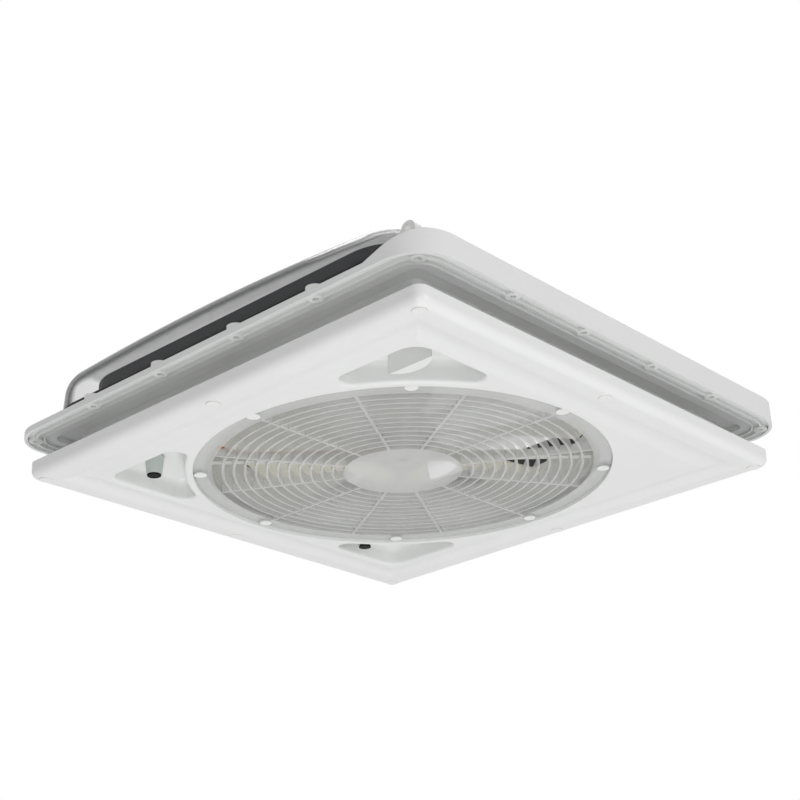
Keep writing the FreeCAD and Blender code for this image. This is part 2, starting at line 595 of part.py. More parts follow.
def pocket_flare(block, face):
    """Round mouth of a pocket: the ring between its outline and a wider one below."""
    radius = size("pocket_mouth")
    mouth = [one for one in block.Faces if one.BoundBox.ZMax < face + 0.01][0]
    flare = None
    steps = 4
    for number in range(steps):
        low_angle = math.radians(90.0 * number / steps)
        high_angle = math.radians(90.0 * (number + 1) / steps)
        wires = []
        for angle in (low_angle, high_angle):
            grown = radius * (1 - math.sin(angle))
            level = radius * (1 - math.cos(angle))
            wire = mouth.OuterWire if grown < 0.001 else mouth.OuterWire.makeOffset2D(grown)
            wire = wire.copy()
            wire.translate(Vector(0, 0, level))
            wires.append(wire)
        piece = Part.makeLoft(wires, True, True)
        flare = piece if flare is None else flare.fuse(piece)
    return flare


def trim_fasteners():
    """Screws up into the ceiling and the white discs that hide their heads."""
    screws = []
    caps = []
    for number, (x, y) in enumerate(trim_screw_places()):
        seat = FACE + " + 2.4 * trim_wall"
        head = cylinder("trim_screw_head%d" % number, "2 * trim_screw_radius", "trim_wall",
                        (x, y, seat + " - trim_wall"))
        shank = cylinder("trim_screw_shank%d" % number, "trim_screw_radius", "trim_depth",
                         (x, y, seat + " - trim_wall / 2"))
        screws.append(fuse("trim_screw%d" % number, head, shank))
        disc = cylinder("trim_cap%d" % number, "cap_radius", "cap_thick + 1.2 * trim_wall",
                        (x, y, FACE + " - cap_thick / 3"))
        hollow = cylinder("trim_cap_hollow%d" % number, "cap_radius - cap_thick", "4 * trim_wall",
                          (x, y, FACE + " + 2 * cap_thick / 3"))
        caps.append(cut("trim_cap_shell%d" % number, disc, hollow))
    name_part(group("trim_screw_set", *screws), "trim_screws")
    name_part(group("trim_cap_set", *caps), "trim_caps")


def grille():
    """Frosted grille: hub disc, deep rings, spokes and a sloping band with stud seats."""
    low = GRILLE_LOW
    edge = "opening_radius - grille_gap"
    rings = []
    pitch = "(grille_slot_radius - hub_radius) / 12"
    for number in range(1, 12):
        radius = "hub_radius + %d * %s" % (number, pitch)
        rings.append(tube("ring%d" % number, radius + " + ring_wall / 2", radius + " - ring_wall / 2",
                          "ring_depth", ("0", "0", low), "between spokes"))
    inside_hub = "hub_radius - ring_wall"
    rings.append(turned("hub_cup", (("0", low), ("hub_radius", low), ("hub_radius", low + " + ring_depth"),
                                    (inside_hub, low + " + ring_depth"), (inside_hub, low + " + grille_sheet"),
                                    ("0", low + " + grille_sheet"))))
    spokes = []
    for number, angle in enumerate(around(12)):
        spoke = box("spoke%d" % number, ("0", "0", low), ("grille_slot_radius - hub_radius + ring_wall",
                                                         "spoke_width", "spoke_depth"))
        spoke.Placement = FreeCAD.Placement(Vector(0, 0, 0), FreeCAD.Rotation(Vector(0, 0, 1), angle))
        start = "(hub_radius - ring_wall / 2)"
        bind(spoke, {"Placement.Base.x": "%s * cos(%s) + spoke_width / 2 * sin(%s)" % (start, angle, angle),
                     "Placement.Base.y": "%s * sin(%s) - spoke_width / 2 * cos(%s)" % (start, angle, angle),
                     "Placement.Base.z": low})
        spokes.append(spoke)
    band = turned("band", (("grille_slot_radius", low), ("grille_land", low), (edge, low + " + grille_edge_rise"),
                           (edge, low + " + grille_edge_rise + grille_sheet"), ("grille_land", low + " + grille_sheet"),
                           ("grille_slot_radius + ring_wall", low + " + grille_sheet"),
                           ("grille_slot_radius + ring_wall", low + " + ring_depth"),
                           ("grille_slot_radius", low + " + ring_depth")))
    band.Placement = FreeCAD.Placement(Vector(0, 0, 0), AXES["between spokes"])
    holes = []
    for number, angle in enumerate(around(8)):
        x, y = polar("stud_circle", angle)
        holes.append(cylinder("grille_hole%d" % number, "stud_shank", "trim_depth", (x, y, low + " - grille_sheet")))
        holes.append(cylinder("stud_seat%d" % number, "stud_head + cap_gap", "trim_depth",
                              (x, y, STUD_SEAT + " - trim_depth")))
    body = fuse("grille_whole", *rings, *spokes, band)
    name_part(cut("grille_body", body, *holes), "grille")


def grille_studs():
    """White press studs that hold the grille against its seat."""
    studs = []
    for number, angle in enumerate(around(8)):
        x, y = polar("stud_circle", angle)
        head = cylinder("stud_head%d" % number, "stud_head", "grille_sheet / 2",
                        (x, y, STUD_SEAT + " - grille_sheet / 2"))
        shank = cylinder("stud_shank%d" % number, "stud_shank", "3 * grille_sheet", (x, y, STUD_SEAT))
        studs.append(fuse("stud%d" % number, head, shank))
    name_part(group("stud_set", *studs), "grille_studs")


def duct_tray():
    """Tray that closes the neck round the fan, with the round duct and the posts on it."""
    tray_half = "neck_half - neck_wall - tray_gap"
    plate = square("tray_plate", tray_half, "neck_corner - neck_wall - tray_gap", "tray_low", "tray_thick")
    duct = cylinder("duct_outside", "duct_radius + duct_wall", "duct_top - duct_low", ("0", "0", "duct_low"))
    bore = cylinder("duct_bore", "duct_radius", "2 * (duct_top - duct_low)", ("0", "0", "2 * duct_low"))
    posts = []
    for number, (x, y) in enumerate(board_posts()):
        posts.append(cylinder("board_post%d" % number, "3", "board_low - " + TRAY_TOP, (x, y, TRAY_TOP)))
    holes = []
    for number, angle in enumerate(around(4, 45.0)):
        x, y = polar("tray_boss * sqrt(2)", angle)
        holes.append(cylinder("tray_way%d" % number, "tray_screw + 0.1", "3 * tray_thick",
                              (x, y, "tray_low - tray_thick")))
    for label, radius, x, y in (("crank_tray", "spindle_bush + 0.2", "crank_place", "-crank_place"),
                                ("knob_tray", "knob_stem + 1", "-knob_place", "-knob_place"),
                                ("button_tray", "button_rod + 0.4", "button_x", "button_y")):
        holes.append(cylinder(label, radius, "3 * tray_thick", (x, y, "tray_low - tray_thick")))
    notch = box("lead_notch", ("0", "-4 * lead_radius", TRAY_TOP + " + 0.2"),
                ("duct_radius + 2 * duct_wall", "8 * lead_radius", "4 * lead_radius"))
    notch.Placement = FreeCAD.Placement(Vector(0, 0, 0), FreeCAD.Rotation(Vector(0, 0, 1), 225))
    bind(notch, {"Placement.Base.x": "-4 * lead_radius * cos(45)",
                 "Placement.Base.y": "4 * lead_radius * sin(45)",
                 "Placement.Base.z": TRAY_TOP + " + 0.2"})
    body = fuse("tray_whole", plate, duct, *posts)
    name_part(cut("duct_tray_body", body, bore, notch, *holes), "duct_tray")


def board_posts():
    """Formulas for the four posts under the control board."""
    near, far = "-(board_near + 4)", "-(board_far - 4)"
    return [(x, y) for x in (near, far) for y in (near, far)]


def tray_screws():
    """Four screws from below, through the tray into the frame's bosses."""
    screws = []
    for number, angle in enumerate(around(4, 45.0)):
        x, y = polar("tray_boss * sqrt(2)", angle)
        head = cylinder("tray_screw_head%d" % number, "1.8 * tray_screw", "tray_screw",
                        (x, y, "tray_low - tray_screw"))
        shank = cylinder("tray_screw_shank%d" % number, "tray_screw", "4 * tray_thick", (x, y, "tray_low"))
        screws.append(fuse("tray_screw_solid%d" % number, head, shank))
    name_part(group("tray_screw_set", *screws), "tray_screws")


def motor_parts():
    """Bracket, can, bushings, screws and the two leads of the fan motor."""
    cup_floor = "motor_low - cup_wall"
    cup = tube("cup", "motor_radius + cup_wall", "motor_radius", "motor_high - motor_low", ("0", "0", "motor_low"))
    half_cup = box("cup_trim", ("-2 * motor_radius", "-2 * motor_radius", "(motor_low + motor_high) / 2"),
                   ("4 * motor_radius", "4 * motor_radius", "motor_high - motor_low"))
    floor = cylinder("cup_floor", "motor_radius + cup_wall", "cup_wall", ("0", "0", cup_floor))
    arms = []
    for number, angle in enumerate(around(4, 45.0)):
        arm = box("arm%d" % number, ("0", "0", "arm_low"), ("duct_radius - motor_radius", "arm_width", "arm_height"))
        arm.Placement = FreeCAD.Placement(Vector(0, 0, 0), FreeCAD.Rotation(Vector(0, 0, 1), angle))
        bind(arm, {"Placement.Base.x": "motor_radius * cos(%s) + arm_width / 2 * sin(%s)" % (angle, angle),
                   "Placement.Base.y": "motor_radius * sin(%s) - arm_width / 2 * cos(%s)" % (angle, angle),
                   "Placement.Base.z": "arm_low"})
        arms.append(arm)
    limit = cylinder("arm_limit", "duct_radius", "4 * arm_height", ("0", "0", "arm_low - arm_height"))
    bore = cylinder("can_room", "motor_radius", "4 * arm_height", ("0", "0", "motor_low"))
    eye = cylinder("cup_eye", "bush_radius", "4 * cup_wall", ("0", "0", "motor_low - 2 * cup_wall"))
    screw_ways = []
    screws = []
    for number, angle in enumerate(around(3, 90.0)):
        x, y = polar("motor_radius * 0.68", angle)
        screw_ways.append(cylinder("motor_way%d" % number, "1.5", "4 * cup_wall",
                                   (x, y, "motor_low - 2 * cup_wall")))
        head = cylinder("motor_screw_head%d" % number, "2.8", "1.6", (x, y, cup_floor + " - 1.6"))
        shank = cylinder("motor_screw_shank%d" % number, "1.5", "cup_wall + motor_wall", (x, y, cup_floor))
        screws.append(fuse("motor_screw%d" % number, head, shank))
    spider = fuse("spider", cut("half_cup", cup, half_cup), floor, *arms)
    seated = common("spider_seated", spider, limit)
    name_part(cut("motor_bracket_body", seated, bore, eye, *screw_ways), "motor_bracket")
    can = cylinder("can_outside", "motor_radius", "motor_high - motor_low", ("0", "0", "motor_low"))
    inside = cylinder("can_inside", "motor_radius - motor_wall", "motor_high - motor_low - 2 * motor_wall",
                      ("0", "0", "motor_low + motor_wall"))
    axis_hole = cylinder("can_hole", "bush_radius", "2 * (motor_high - motor_low)", ("0", "0", "2 * motor_low"))
    can_ways = []
    for number, angle in enumerate(around(3, 90.0)):
        x, y = polar("motor_radius * 0.68", angle)
        can_ways.append(cylinder("can_way%d" % number, "1.5", "2 * motor_wall", (x, y, "motor_low - motor_wall")))
    name_part(cut("motor_can_body", can, inside, axis_hole, *can_ways), "motor_can")
    bushes = [tube("motor_bush_low", "bush_radius", "shaft_radius + shaft_gap", "bush_length", ("0", "0", "motor_low")),
              tube("motor_bush_high", "bush_radius", "shaft_radius + shaft_gap", "bush_length",
                   ("0", "0", "motor_high - bush_length"))]
    name_part(group("bush_pair", *bushes), "motor_bushings")
    name_part(group("motor_screw_set", *screws), "motor_screws")


def lead(name, side):
    """One motor lead along the top of the arm towards the control board."""
    radius = size("lead_radius")
    arm_top = size("arm_low") + size("arm_height")
    exit_level = size("tray_low") + size("tray_thick") + 0.2 + 1.6 * radius
    run = arm_top + radius
    reach = size("duct_radius")
    route = [(size("motor_radius") + size("cup_wall"), run), (reach * 0.5, run), (reach * 0.84, run),
             (reach - 3 * size("duct_wall"), exit_level), (reach + 7 * size("duct_wall"), exit_level)]
    points = [Vector(distance, side * 1.5 * radius, level) for distance, level in route]
    edges = []
    start = points[0]
    for before, corner, after in zip(points, points[1:], points[2:]):
        incoming = (corner - before).normalize()
        outgoing = (after - corner).normalize()
        turn = incoming.getAngle(outgoing)
        if turn < 0.001:
            continue
        shorter = min((corner - before).Length, (after - corner).Length)
        trim = 0.45 * shorter
        first = corner - incoming * trim
        last = corner + outgoing * trim
        bend = trim / math.tan(turn / 2)
        middle_way = (outgoing - incoming).normalize()
        middle = corner + middle_way * (math.sqrt(bend ** 2 + trim ** 2) - bend)
        edges.append(Part.LineSegment(start, first).toShape())
        edges.append(Part.Arc(first, middle, last).toShape())
        start = last
    edges.append(Part.LineSegment(start, points[-1]).toShape())
    path = Part.Wire(edges)
    section = Part.Wire(Part.makeCircle(radius, points[0], Vector(1, 0, 0)))
    tube_shape = path.makePipeShell([section], True, True)
    name_part(shape_part(name + "_body", tube_shape, angle=225), name)


def fan_parts():
    """Shaft, rotor, impeller and clip: everything that spins."""
    top = "fan_high + 2"
    shaft = cylinder("fan_shaft_body", "shaft_radius", top + " - motor_low - 1", ("0", "0", "motor_low + 1"))
    name_part(shaft, "fan_shaft")
    rotor = tube("motor_rotor_body", "motor_radius - motor_wall - 1.2", "shaft_radius",
                 "motor_high - motor_low - 2 * bush_length - 2", ("0", "0", "motor_low + bush_length + 1"))
    name_part(rotor, "motor_rotor")
    hub_radius, wall = size("fan_hub_radius"), size("fan_hub_wall")
    low, high, thick = size("fan_low"), size("fan_high"), size("blade_thick")
    hub = Part.makeCylinder(hub_radius, high - low, Vector(0, 0, low))
    rim = [edge for edge in hub.Edges if edge.BoundBox.ZMin > high - 0.01]
    hub = hub.makeFillet(3 * wall / 2, rim)
    hub = hub.cut(Part.makeCylinder(hub_radius - wall, high - low - wall, Vector(0, 0, low)))
    hub = hub.fuse(Part.makeCylinder(2.5 * size("shaft_radius"), high - size("motor_high") - 1,
                                     Vector(0, 0, size("motor_high") + 1)))
    middle = (low + high) / 2
    stations = ((hub_radius - wall, 46.0, 30.0), ((hub_radius + size("fan_radius")) / 2, 62.0, 17.0),
                (size("fan_radius"), 78.0, 10.0))
    sections = []
    for radius, chord, pitch in stations:
        along = Vector(0, math.cos(math.radians(pitch)), math.sin(math.radians(pitch)))
        up = Vector(0, -math.sin(math.radians(pitch)), math.cos(math.radians(pitch)))
        centre = Vector(radius, 0, middle)
        corners = [centre + along * (chord / 2 * a) + up * (thick / 2 * b)
                   for a, b in ((-1, -1), (1, -1), (1, 1), (-1, 1))]
        sections.append(Part.makePolygon(corners + corners[:1]))
    blade = Part.makeLoft(sections, True, False)
    blade = blade.common(Part.makeCylinder(size("fan_radius") - 0.5, 4 * high, Vector(0, 0, -2 * high)))
    blade = blade.cut(Part.makeCylinder(hub_radius - wall / 2, 4 * high, Vector(0, 0, -2 * high)))
    shape = hub
    for angle in around(8):
        shape = shape.fuse(blade.copy().rotate(Vector(0, 0, 0), Vector(0, 0, 1), angle))
    shape = shape.cut(Part.makeCylinder(size("shaft_radius"), 4 * high, Vector(0, 0, -2 * high)))
    name_part(shape_part("fan_impeller_body", shape), "fan_impeller")
    name_part(tube("fan_clip_body", "2 * shaft_radius", "shaft_radius", "1.2", ("0", "0", "fan_high")), "fan_clip")


def control_parts():
    """Board, fuse holder, speed switch and knob, push switch and button."""
    board = box("board_sheet", ("-board_far", "-board_far", "board_low"),
                ("board_far - board_near", "board_far - board_near", "board_thick"))
    ways = [cylinder("board_way%d" % number, "1.25", "3 * board_thick", (x, y, "board_low - board_thick"))
            for number, (x, y) in enumerate(board_posts())]
    stem_way = cylinder("board_stem_way", "knob_stem + 1", "3 * board_thick",
                        ("-knob_place", "-knob_place", "board_low - board_thick"))
    name_part(cut("control_board_body", board, stem_way, *ways), "control_board")
    screws = []
    for number, (x, y) in enumerate(board_posts()):
        head = cylinder("board_screw_head%d" % number, "2.4", "1.6", (x, y, "board_low + board_thick"))
        shank = cylinder("board_screw_shank%d" % number, "1.25", "board_thick", (x, y, "board_low"))
        screws.append(fuse("board_screw%d" % number, head, shank))
    name_part(group("board_screw_set", *screws), "board_screws")
    fuse_low = ("-board_far + 9", "-board_near - 9", "board_low + board_thick")
    name_part(box("fuse_holder_body", fuse_low, ("22", "6", "8")), "fuse_holder")
    switch = box("speed_switch_block", ("-knob_place - 8", "-knob_place - 8", TRAY_TOP),
                 ("16", "16", "board_low - " + TRAY_TOP))
    bore = cylinder("speed_switch_bore", "knob_stem + shaft_gap", "30", ("-knob_place", "-knob_place", "tray_low"))
    name_part(cut("speed_switch_body", switch, bore), "speed_switch")
    low = FACE + " + knob_recess"
    cap = cylinder("knob_cap_body", "knob_cap_radius", "knob_cap_thick", ("-knob_place", "-knob_place", low))
    name_part(cap, "knob_cap")
    knob_height = "pocket_depth - knob_recess - knob_cap_thick - 0.8"
    knob = cone("knob_cone", "knob_low_radius", "knob_top_radius", knob_height,
                ("-knob_place", "-knob_place", low + " + knob_cap_thick"))
    stem = cylinder("knob_stem_rod", "knob_stem", "board_low - (%s)" % low + " - knob_cap_thick - 0.5",
                    ("-knob_place", "-knob_place", low + " + knob_cap_thick"))
    name_part(fuse("speed_knob_body", knob, stem), "speed_knob")
    at = ("button_x", "button_y")
    low = FACE + " + button_recess"
    tube_low = low + " + knob_cap_thick + button_travel + 0.4"
    outside = cone("button_tube_out", "knob_low_radius", "knob_top_radius", POCKET_FLOOR + " - (%s)" % tube_low,
                   at + (tube_low,))
    guide_bore = cylinder("button_tube_bore", "button_rod + 0.3", "30", at + (FACE,))
    name_part(cut("button_tube_body", outside, guide_bore), "button_tube")
    head = cylinder("button_head", "button_radius", "knob_cap_thick", at + (low,))
    rod = cylinder("button_rod_body", "button_rod", TRAY_TOP + " + 1 - (%s)" % low, at + (low,))
    neck = cylinder("button_neck", "1.6", "5.5 - button_travel", at + (TRAY_TOP + " + 1",))
    name_part(fuse("power_button_body", head, rod, neck), "power_button")
    block = box("power_switch_block", ("button_x - 7", "button_y - 7", TRAY_TOP), ("14", "14", "9"))
    well = cylinder("power_switch_well", "button_rod + 0.3", "7", at + (TRAY_TOP,))
    name_part(cut("power_switch_body", block, well), "power_switch")
    coil = tube("button_spring_body", "3.2", "2.2", "5.5", at + (TRAY_TOP + " + 1.2",))
    name_part(coil, "button_spring")


def crank_parts():
    """D-shaped grip on a round base, its spindle with the worm, its clip and bushes."""
    x, y = "crank_place", "-crank_place"
    low = FACE
    base_top = POCKET_FLOOR + " - 0.5"
    bulge = "((grip_length / 2) ^ 2 + grip_thick ^ 2) / (2 * grip_thick)"
    grip_height = "pocket_depth - 0.5 - crank_base_thick / 2"
    round_side = cylinder("grip_round", bulge, grip_height, (x, y + " - grip_flat + grip_thick - " + bulge, low))
    flat_side = box("grip_block", (x + " - grip_length", y + " - grip_flat", low),
                    ("2 * grip_length", "grip_thick + 1", grip_height))
    grip = common("grip", round_side, flat_side)
    base = cylinder("crank_base_disc", "crank_base", "crank_base_thick", (x, y, base_top + " - crank_base_thick"))
    socket = cylinder("crank_socket", "spindle_radius", "pocket_depth", (x, y, low + " + 0.87 * pocket_depth"))
    name_part(cut("crank_handle_body", fuse("crank_solid", grip, base), socket), "crank_handle")
    top = size("box_top") + 3.0
    start = -size("roof_gap") - size("trim_depth") + 0.87 * size("pocket_depth")
    place_x = size("crank_place")
    radius = size("spindle_radius")
    rod = Part.makeCylinder(radius, top - start, Vector(place_x, -place_x, start))
    name_part(shape_part("worm_spindle_body", rod.fuse(worm(place_x))), "worm_spindle")
    bore = "spindle_radius + spindle_gap"
    floor_bush = tube("bush_low", "spindle_bush", bore, "box_wall + 1", (x, y, TRAY_TOP))
    roof_bush = tube("bush_high", "spindle_bush", bore, "box_wall + 1", (x, y, "box_top - box_wall"))
    name_part(group("bush_set", floor_bush, roof_bush), "spindle_bushes")
    clip = tube("spindle_clip_body", "1.5 * spindle_radius", "spindle_radius", "1.2", (x, y, "box_top + 1.4"))
    name_part(clip, "spindle_clip")


def worm(place_x):
    """Thread of the worm: a trapezoid swept along a helix round the spindle."""
    wheel_r, deep = size("wheel_pitch_radius"), size("tooth_depth")
    pitch = 2 * math.pi * wheel_r / size("wheel_teeth")
    worm_r = place_x - size("wheel_x") - wheel_r
    centre = size("wheel_z")
    turns = 4
    root = worm_r - deep / 2
    tip = worm_r + deep / 2 - 0.3
    low = centre - turns * pitch / 2
    helix = Part.makeHelix(pitch, turns * pitch, root)
    half_root, half_tip = pitch * 0.28, pitch * 0.15
    corners = [Vector(root - 0.6, 0, -half_root), Vector(tip, 0, -half_tip),
               Vector(tip, 0, half_tip), Vector(root - 0.6, 0, half_root)]
    profile = Part.makePolygon(corners + corners[:1])
    thread = Part.Wire(helix).makePipeShell([profile], True, True)
    core = Part.makeCylinder(root, (turns + 1) * pitch, Vector(0, 0, -pitch / 2))
    shape = core.fuse(thread)
    shape.translate(Vector(place_x, -place_x, low))
    return shape


def wheel_parts():
    """Toothed sector on its cross shaft, the lift arm on the shaft's end and its tip pin."""
    wheel_r, deep = size("wheel_pitch_radius"), size("tooth_depth")
    teeth = int(size("wheel_teeth"))
    width = size("wheel_width")
    centre = Vector(size("wheel_x"), -size("crank_place"), size("wheel_z"))
    root = wheel_r - deep / 2
    tip = wheel_r + deep / 2 - 0.3
    step = 360.0 / teeth
    reach = OPEN_ANGLE * ARM_RATIO
    count = int(reach / step) + 2
    sector = Part.makeCylinder(root, width, Vector(0, -width / 2, 0), Vector(0, 1, 0))
    spread = (count - 0.5) * step
    edge = Vector(math.cos(math.radians(spread)), 0, math.sin(math.radians(spread))) * (2 * root)
    low_edge = Vector(math.cos(math.radians(step / 2)), 0, -math.sin(math.radians(step / 2))) * (2 * root)
    middle = (edge + low_edge).normalize() * (3 * root)
    outline = Part.makePolygon([Vector(0, 0, 0), low_edge, middle, edge, Vector(0, 0, 0)])
    wedge = Part.Face(outline).extrude(Vector(0, 2 * width, 0))
    wedge.translate(Vector(0, -width, 0))
    body = sector.common(wedge)
    body = body.fuse(Part.makeCylinder(8.0, width, Vector(0, -width / 2, 0), Vector(0, 1, 0)))
    pitch = 2 * math.pi * wheel_r / teeth
    half_root, half_tip = pitch * 0.25, pitch * 0.13
    # A worm thread crosses the wheel's plane at the middle of the worm, so the teeth sit half a pitch away.
    corners = [Vector(root - 0.6, 0, -half_root), Vector(tip, 0, -half_tip),
               Vector(tip, 0, half_tip), Vector(root - 0.6, 0, half_root)]
    profile = Part.Face(Part.makePolygon(corners + corners[:1]))
    for number in range(count):
        tooth = profile.extrude(Vector(0, width, 0))
        tooth.translate(Vector(0, -width / 2, 0))
        tooth.rotate(Vector(0, 0, 0), Vector(0, 1, 0), -number * step)
        body = body.fuse(tooth)
    body.translate(centre)
    shaft_start = -size("box_outer") - size("lift_arm_thick") - 3.0
    shaft = Part.makeCylinder(size("spindle_radius"), -size("box_inner") - shaft_start,
                              Vector(centre.x, shaft_start, centre.z), Vector(0, 1, 0))
    name_part(shape_part("wheel_sector_body", body.fuse(shaft).removeSplitter()), "wheel_sector")
    arm_low = -size("box_outer") - size("lift_arm_thick") - 2.0
    tip_centre = Vector(size("tip_x"), arm_low, size("tip_z"))
    pivot = Vector(centre.x, arm_low, centre.z)
    thick, half = size("lift_arm_thick"), size("lift_arm_width") / 2
    direction = (tip_centre - pivot)
    length = direction.Length
    bar = Part.makeBox(length, thick, 1.2 * half, Vector(0, 0, -0.6 * half))
    bar = bar.fuse(Part.makeCylinder(half, thick, Vector(0, 0, 0), Vector(0, 1, 0)))
    bar = bar.fuse(Part.makeCylinder(half, thick, Vector(length, 0, 0), Vector(0, 1, 0)))
    bar = bar.cut(Part.makeCylinder(size("spindle_radius"), thick, Vector(0, 0, 0), Vector(0, 1, 0)))
    bar = bar.cut(Part.makeCylinder(size("tip_radius"), thick, Vector(length, 0, 0), Vector(0, 1, 0)))
    tilt = math.degrees(math.atan2(direction.z, direction.x))
    name_part(shape_part("lift_arm_body", bar, pivot, Vector(0, 1, 0), -tilt), "lift_arm")
    rail_outer = arm_low - size("rail_gap") - size("rail_thick")
    pin = Part.makeCylinder(size("tip_radius"), arm_low + thick - rail_outer + 2.0,
                            Vector(tip_centre.x, rail_outer - 2.0, tip_centre.z), Vector(0, 1, 0))
    head = Part.makeCylinder(1.6 * size("tip_radius"), 1.5, Vector(tip_centre.x, rail_outer - 2.0, tip_centre.z),
                             Vector(0, 1, 0))
    name_part(shape_part("arm_pin_body", pin.fuse(head)), "arm_pin")
    return arm_low


def tip_track():
    """Heights and distances of the arm's tip from the hinge, in the dome's own frame."""
    hinge_x, hinge_z = size("hinge_x"), size("hinge_z")
    across = hinge_x - size("wheel_x")
    down = hinge_z - size("wheel_z")
    run = size("wheel_x") - size("tip_x")
    rise = size("tip_z") - size("wheel_z")
    length = math.hypot(run, rise)
    start = math.atan2(rise, run)
    track = []
    for number in range(46):
        opened = math.radians(OPEN_ANGLE * number / 45)
        swing = start + (ARM_RATIO - 1) * opened
        high = length * math.sin(swing) - across * math.sin(opened) - down * math.cos(opened)
        away = across * math.cos(opened) - down * math.sin(opened) + length * math.cos(swing)
        track.append((away, high))
    return track


def dome_rail(inner, arm_low):
    """Slotted rail under the dome in which the arm's tip pin slides."""
    track = tip_track()
    radius = size("tip_radius") + size("slot_clearance")
    low = min(high for away, high in track) - radius + size("hinge_z")
    top = max(high for away, high in track) + radius + size("hinge_z")
    rear = size("hinge_x") - max(away for away, high in track)
    front = size("hinge_x") - min(away for away, high in track)
    y_low = arm_low - size("rail_gap") - size("rail_thick")
    thick = size("rail_thick")
    high = size("rail_height")
    plate = Part.makeBox(front - rear + 8 * radius, thick, high, Vector(rear - 4 * radius, y_low, low - radius))
    strip = Part.makeBox(size("rail_length"), thick, high, Vector(rear - size("rail_reach"), y_low, top + 0.5))
    rail = plate.fuse(strip)
    slot = Part.makeBox(front - rear, 3 * thick, top - low, Vector(rear, y_low - thick, low))
    for x in (rear, front):
        slot = slot.fuse(Part.makeCylinder((top - low) / 2, 3 * thick, Vector(x, y_low - thick, (low + top) / 2),
                                           Vector(0, 1, 0)))
    rail = rail.cut(slot).removeSplitter()
    item = shape_part("rail_block", rail)
    name_part(common("dome_rail_body", item, inner), "dome_rail")


def gearbox():
    """Open-sided housing on the tray, its cover and screws."""
    low = TRAY_TOP
    height = "box_top - " + low
    block = box("box_block", ("box_back", "-box_outer", low),
                ("box_front - box_back", "box_outer - box_inner - box_wall", height))
    room = box("box_room", ("box_back + box_wall", "-box_outer + box_wall", low + " + box_wall"),
               ("box_front - box_back - 2 * box_wall", "box_outer - box_inner", height + " - 2 * box_wall"))
    posts = []
    ways = []
    screws = []
    corners = [(x, z) for x in ("box_back + 4", "box_front - 4") for z in (low + " + 4", "box_top - 4")]
    for number, (x, z) in enumerate(corners):
        posts.append(cylinder("box_post%d" % number, "3", "box_outer - box_inner - box_wall",
                              (x, "-box_outer", z), "Y"))
        ways.append(cylinder("box_way%d" % number, "1.25", "12", (x, "-box_inner - 10", z), "Y"))
        head = cylinder("box_screw_head%d" % number, "2.5", "1.6", (x, "-box_inner", z), "Y")
        shank = cylinder("box_screw_shank%d" % number, "1.25", "8", (x, "-box_inner - 8", z), "Y")
        screws.append(fuse("box_screw%d" % number, head, shank))
    shell = fuse("box_shell", cut("box_hollow", block, room), *posts)
    bush_ways = [cylinder("bush_way%d" % number, "spindle_bush", "4 * box_wall", ("crank_place", "-crank_place", z))
                 for number, z in enumerate((low + " - box_wall", "box_top - 2 * box_wall"))]
    shaft_bore = "spindle_radius + spindle_gap"
    across = "box_outer - box_inner + 40"
    shaft_way = cylinder("shaft_way", shaft_bore, across, ("wheel_x", "-box_outer - 20", "wheel_z"), "Y")
    name_part(cut("gearbox_housing_body", shell, shaft_way, *ways, *bush_ways), "gearbox_housing")
    cover = box("cover_block", ("box_back", "-box_inner - box_wall", low), ("box_front - box_back", "box_wall", height))
    cover_way = cylinder("cover_shaft_way", shaft_bore, across, ("wheel_x", "-box_outer - 20", "wheel_z"), "Y")
    cover_ways = [cylinder("cover_way%d" % number, "1.25", "20", (x, "-box_inner - 10", z), "Y")
                  for number, (x, z) in enumerate(corners)]
    name_part(cut("gearbox_cover_body", cover, cover_way, *cover_ways), "gearbox_cover")
    name_part(group("box_screw_set", *screws), "gearbox_screws")


outer_frame()
collar_seal()
dome_inside = dome()
hinge_parts()
trim_frame()
trim_fasteners()
grille()
grille_studs()
duct_tray()
tray_screws()
motor_parts()
lead("lead_live", 1)
lead("lead_return", -1)
fan_parts()
control_parts()
crank_parts()
arm_level = wheel_parts()
dome_rail(dome_inside, arm_level)
gearbox()

doc.recompute()
for item in doc.Objects:
    if "Invalid" in item.State or "Error" in item.State:
        raise RuntimeError("%s failed: %s" % (item.Name, item.State))
os.makedirs("parts", exist_ok=True)
for item in parts:
    if item.Shape.isNull() or not item.Shape.isValid():
        raise RuntimeError("%s has no valid shape" % item.Label)
for item in parts:
    item.Shape.exportStep("parts/%s.step" % item.Label)
    print(item.Label, len(item.Shape.Solids), round(item.Shape.Volume, 1))
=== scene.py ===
import math

import bmesh
import bpy
from mathutils import Matrix, Vector


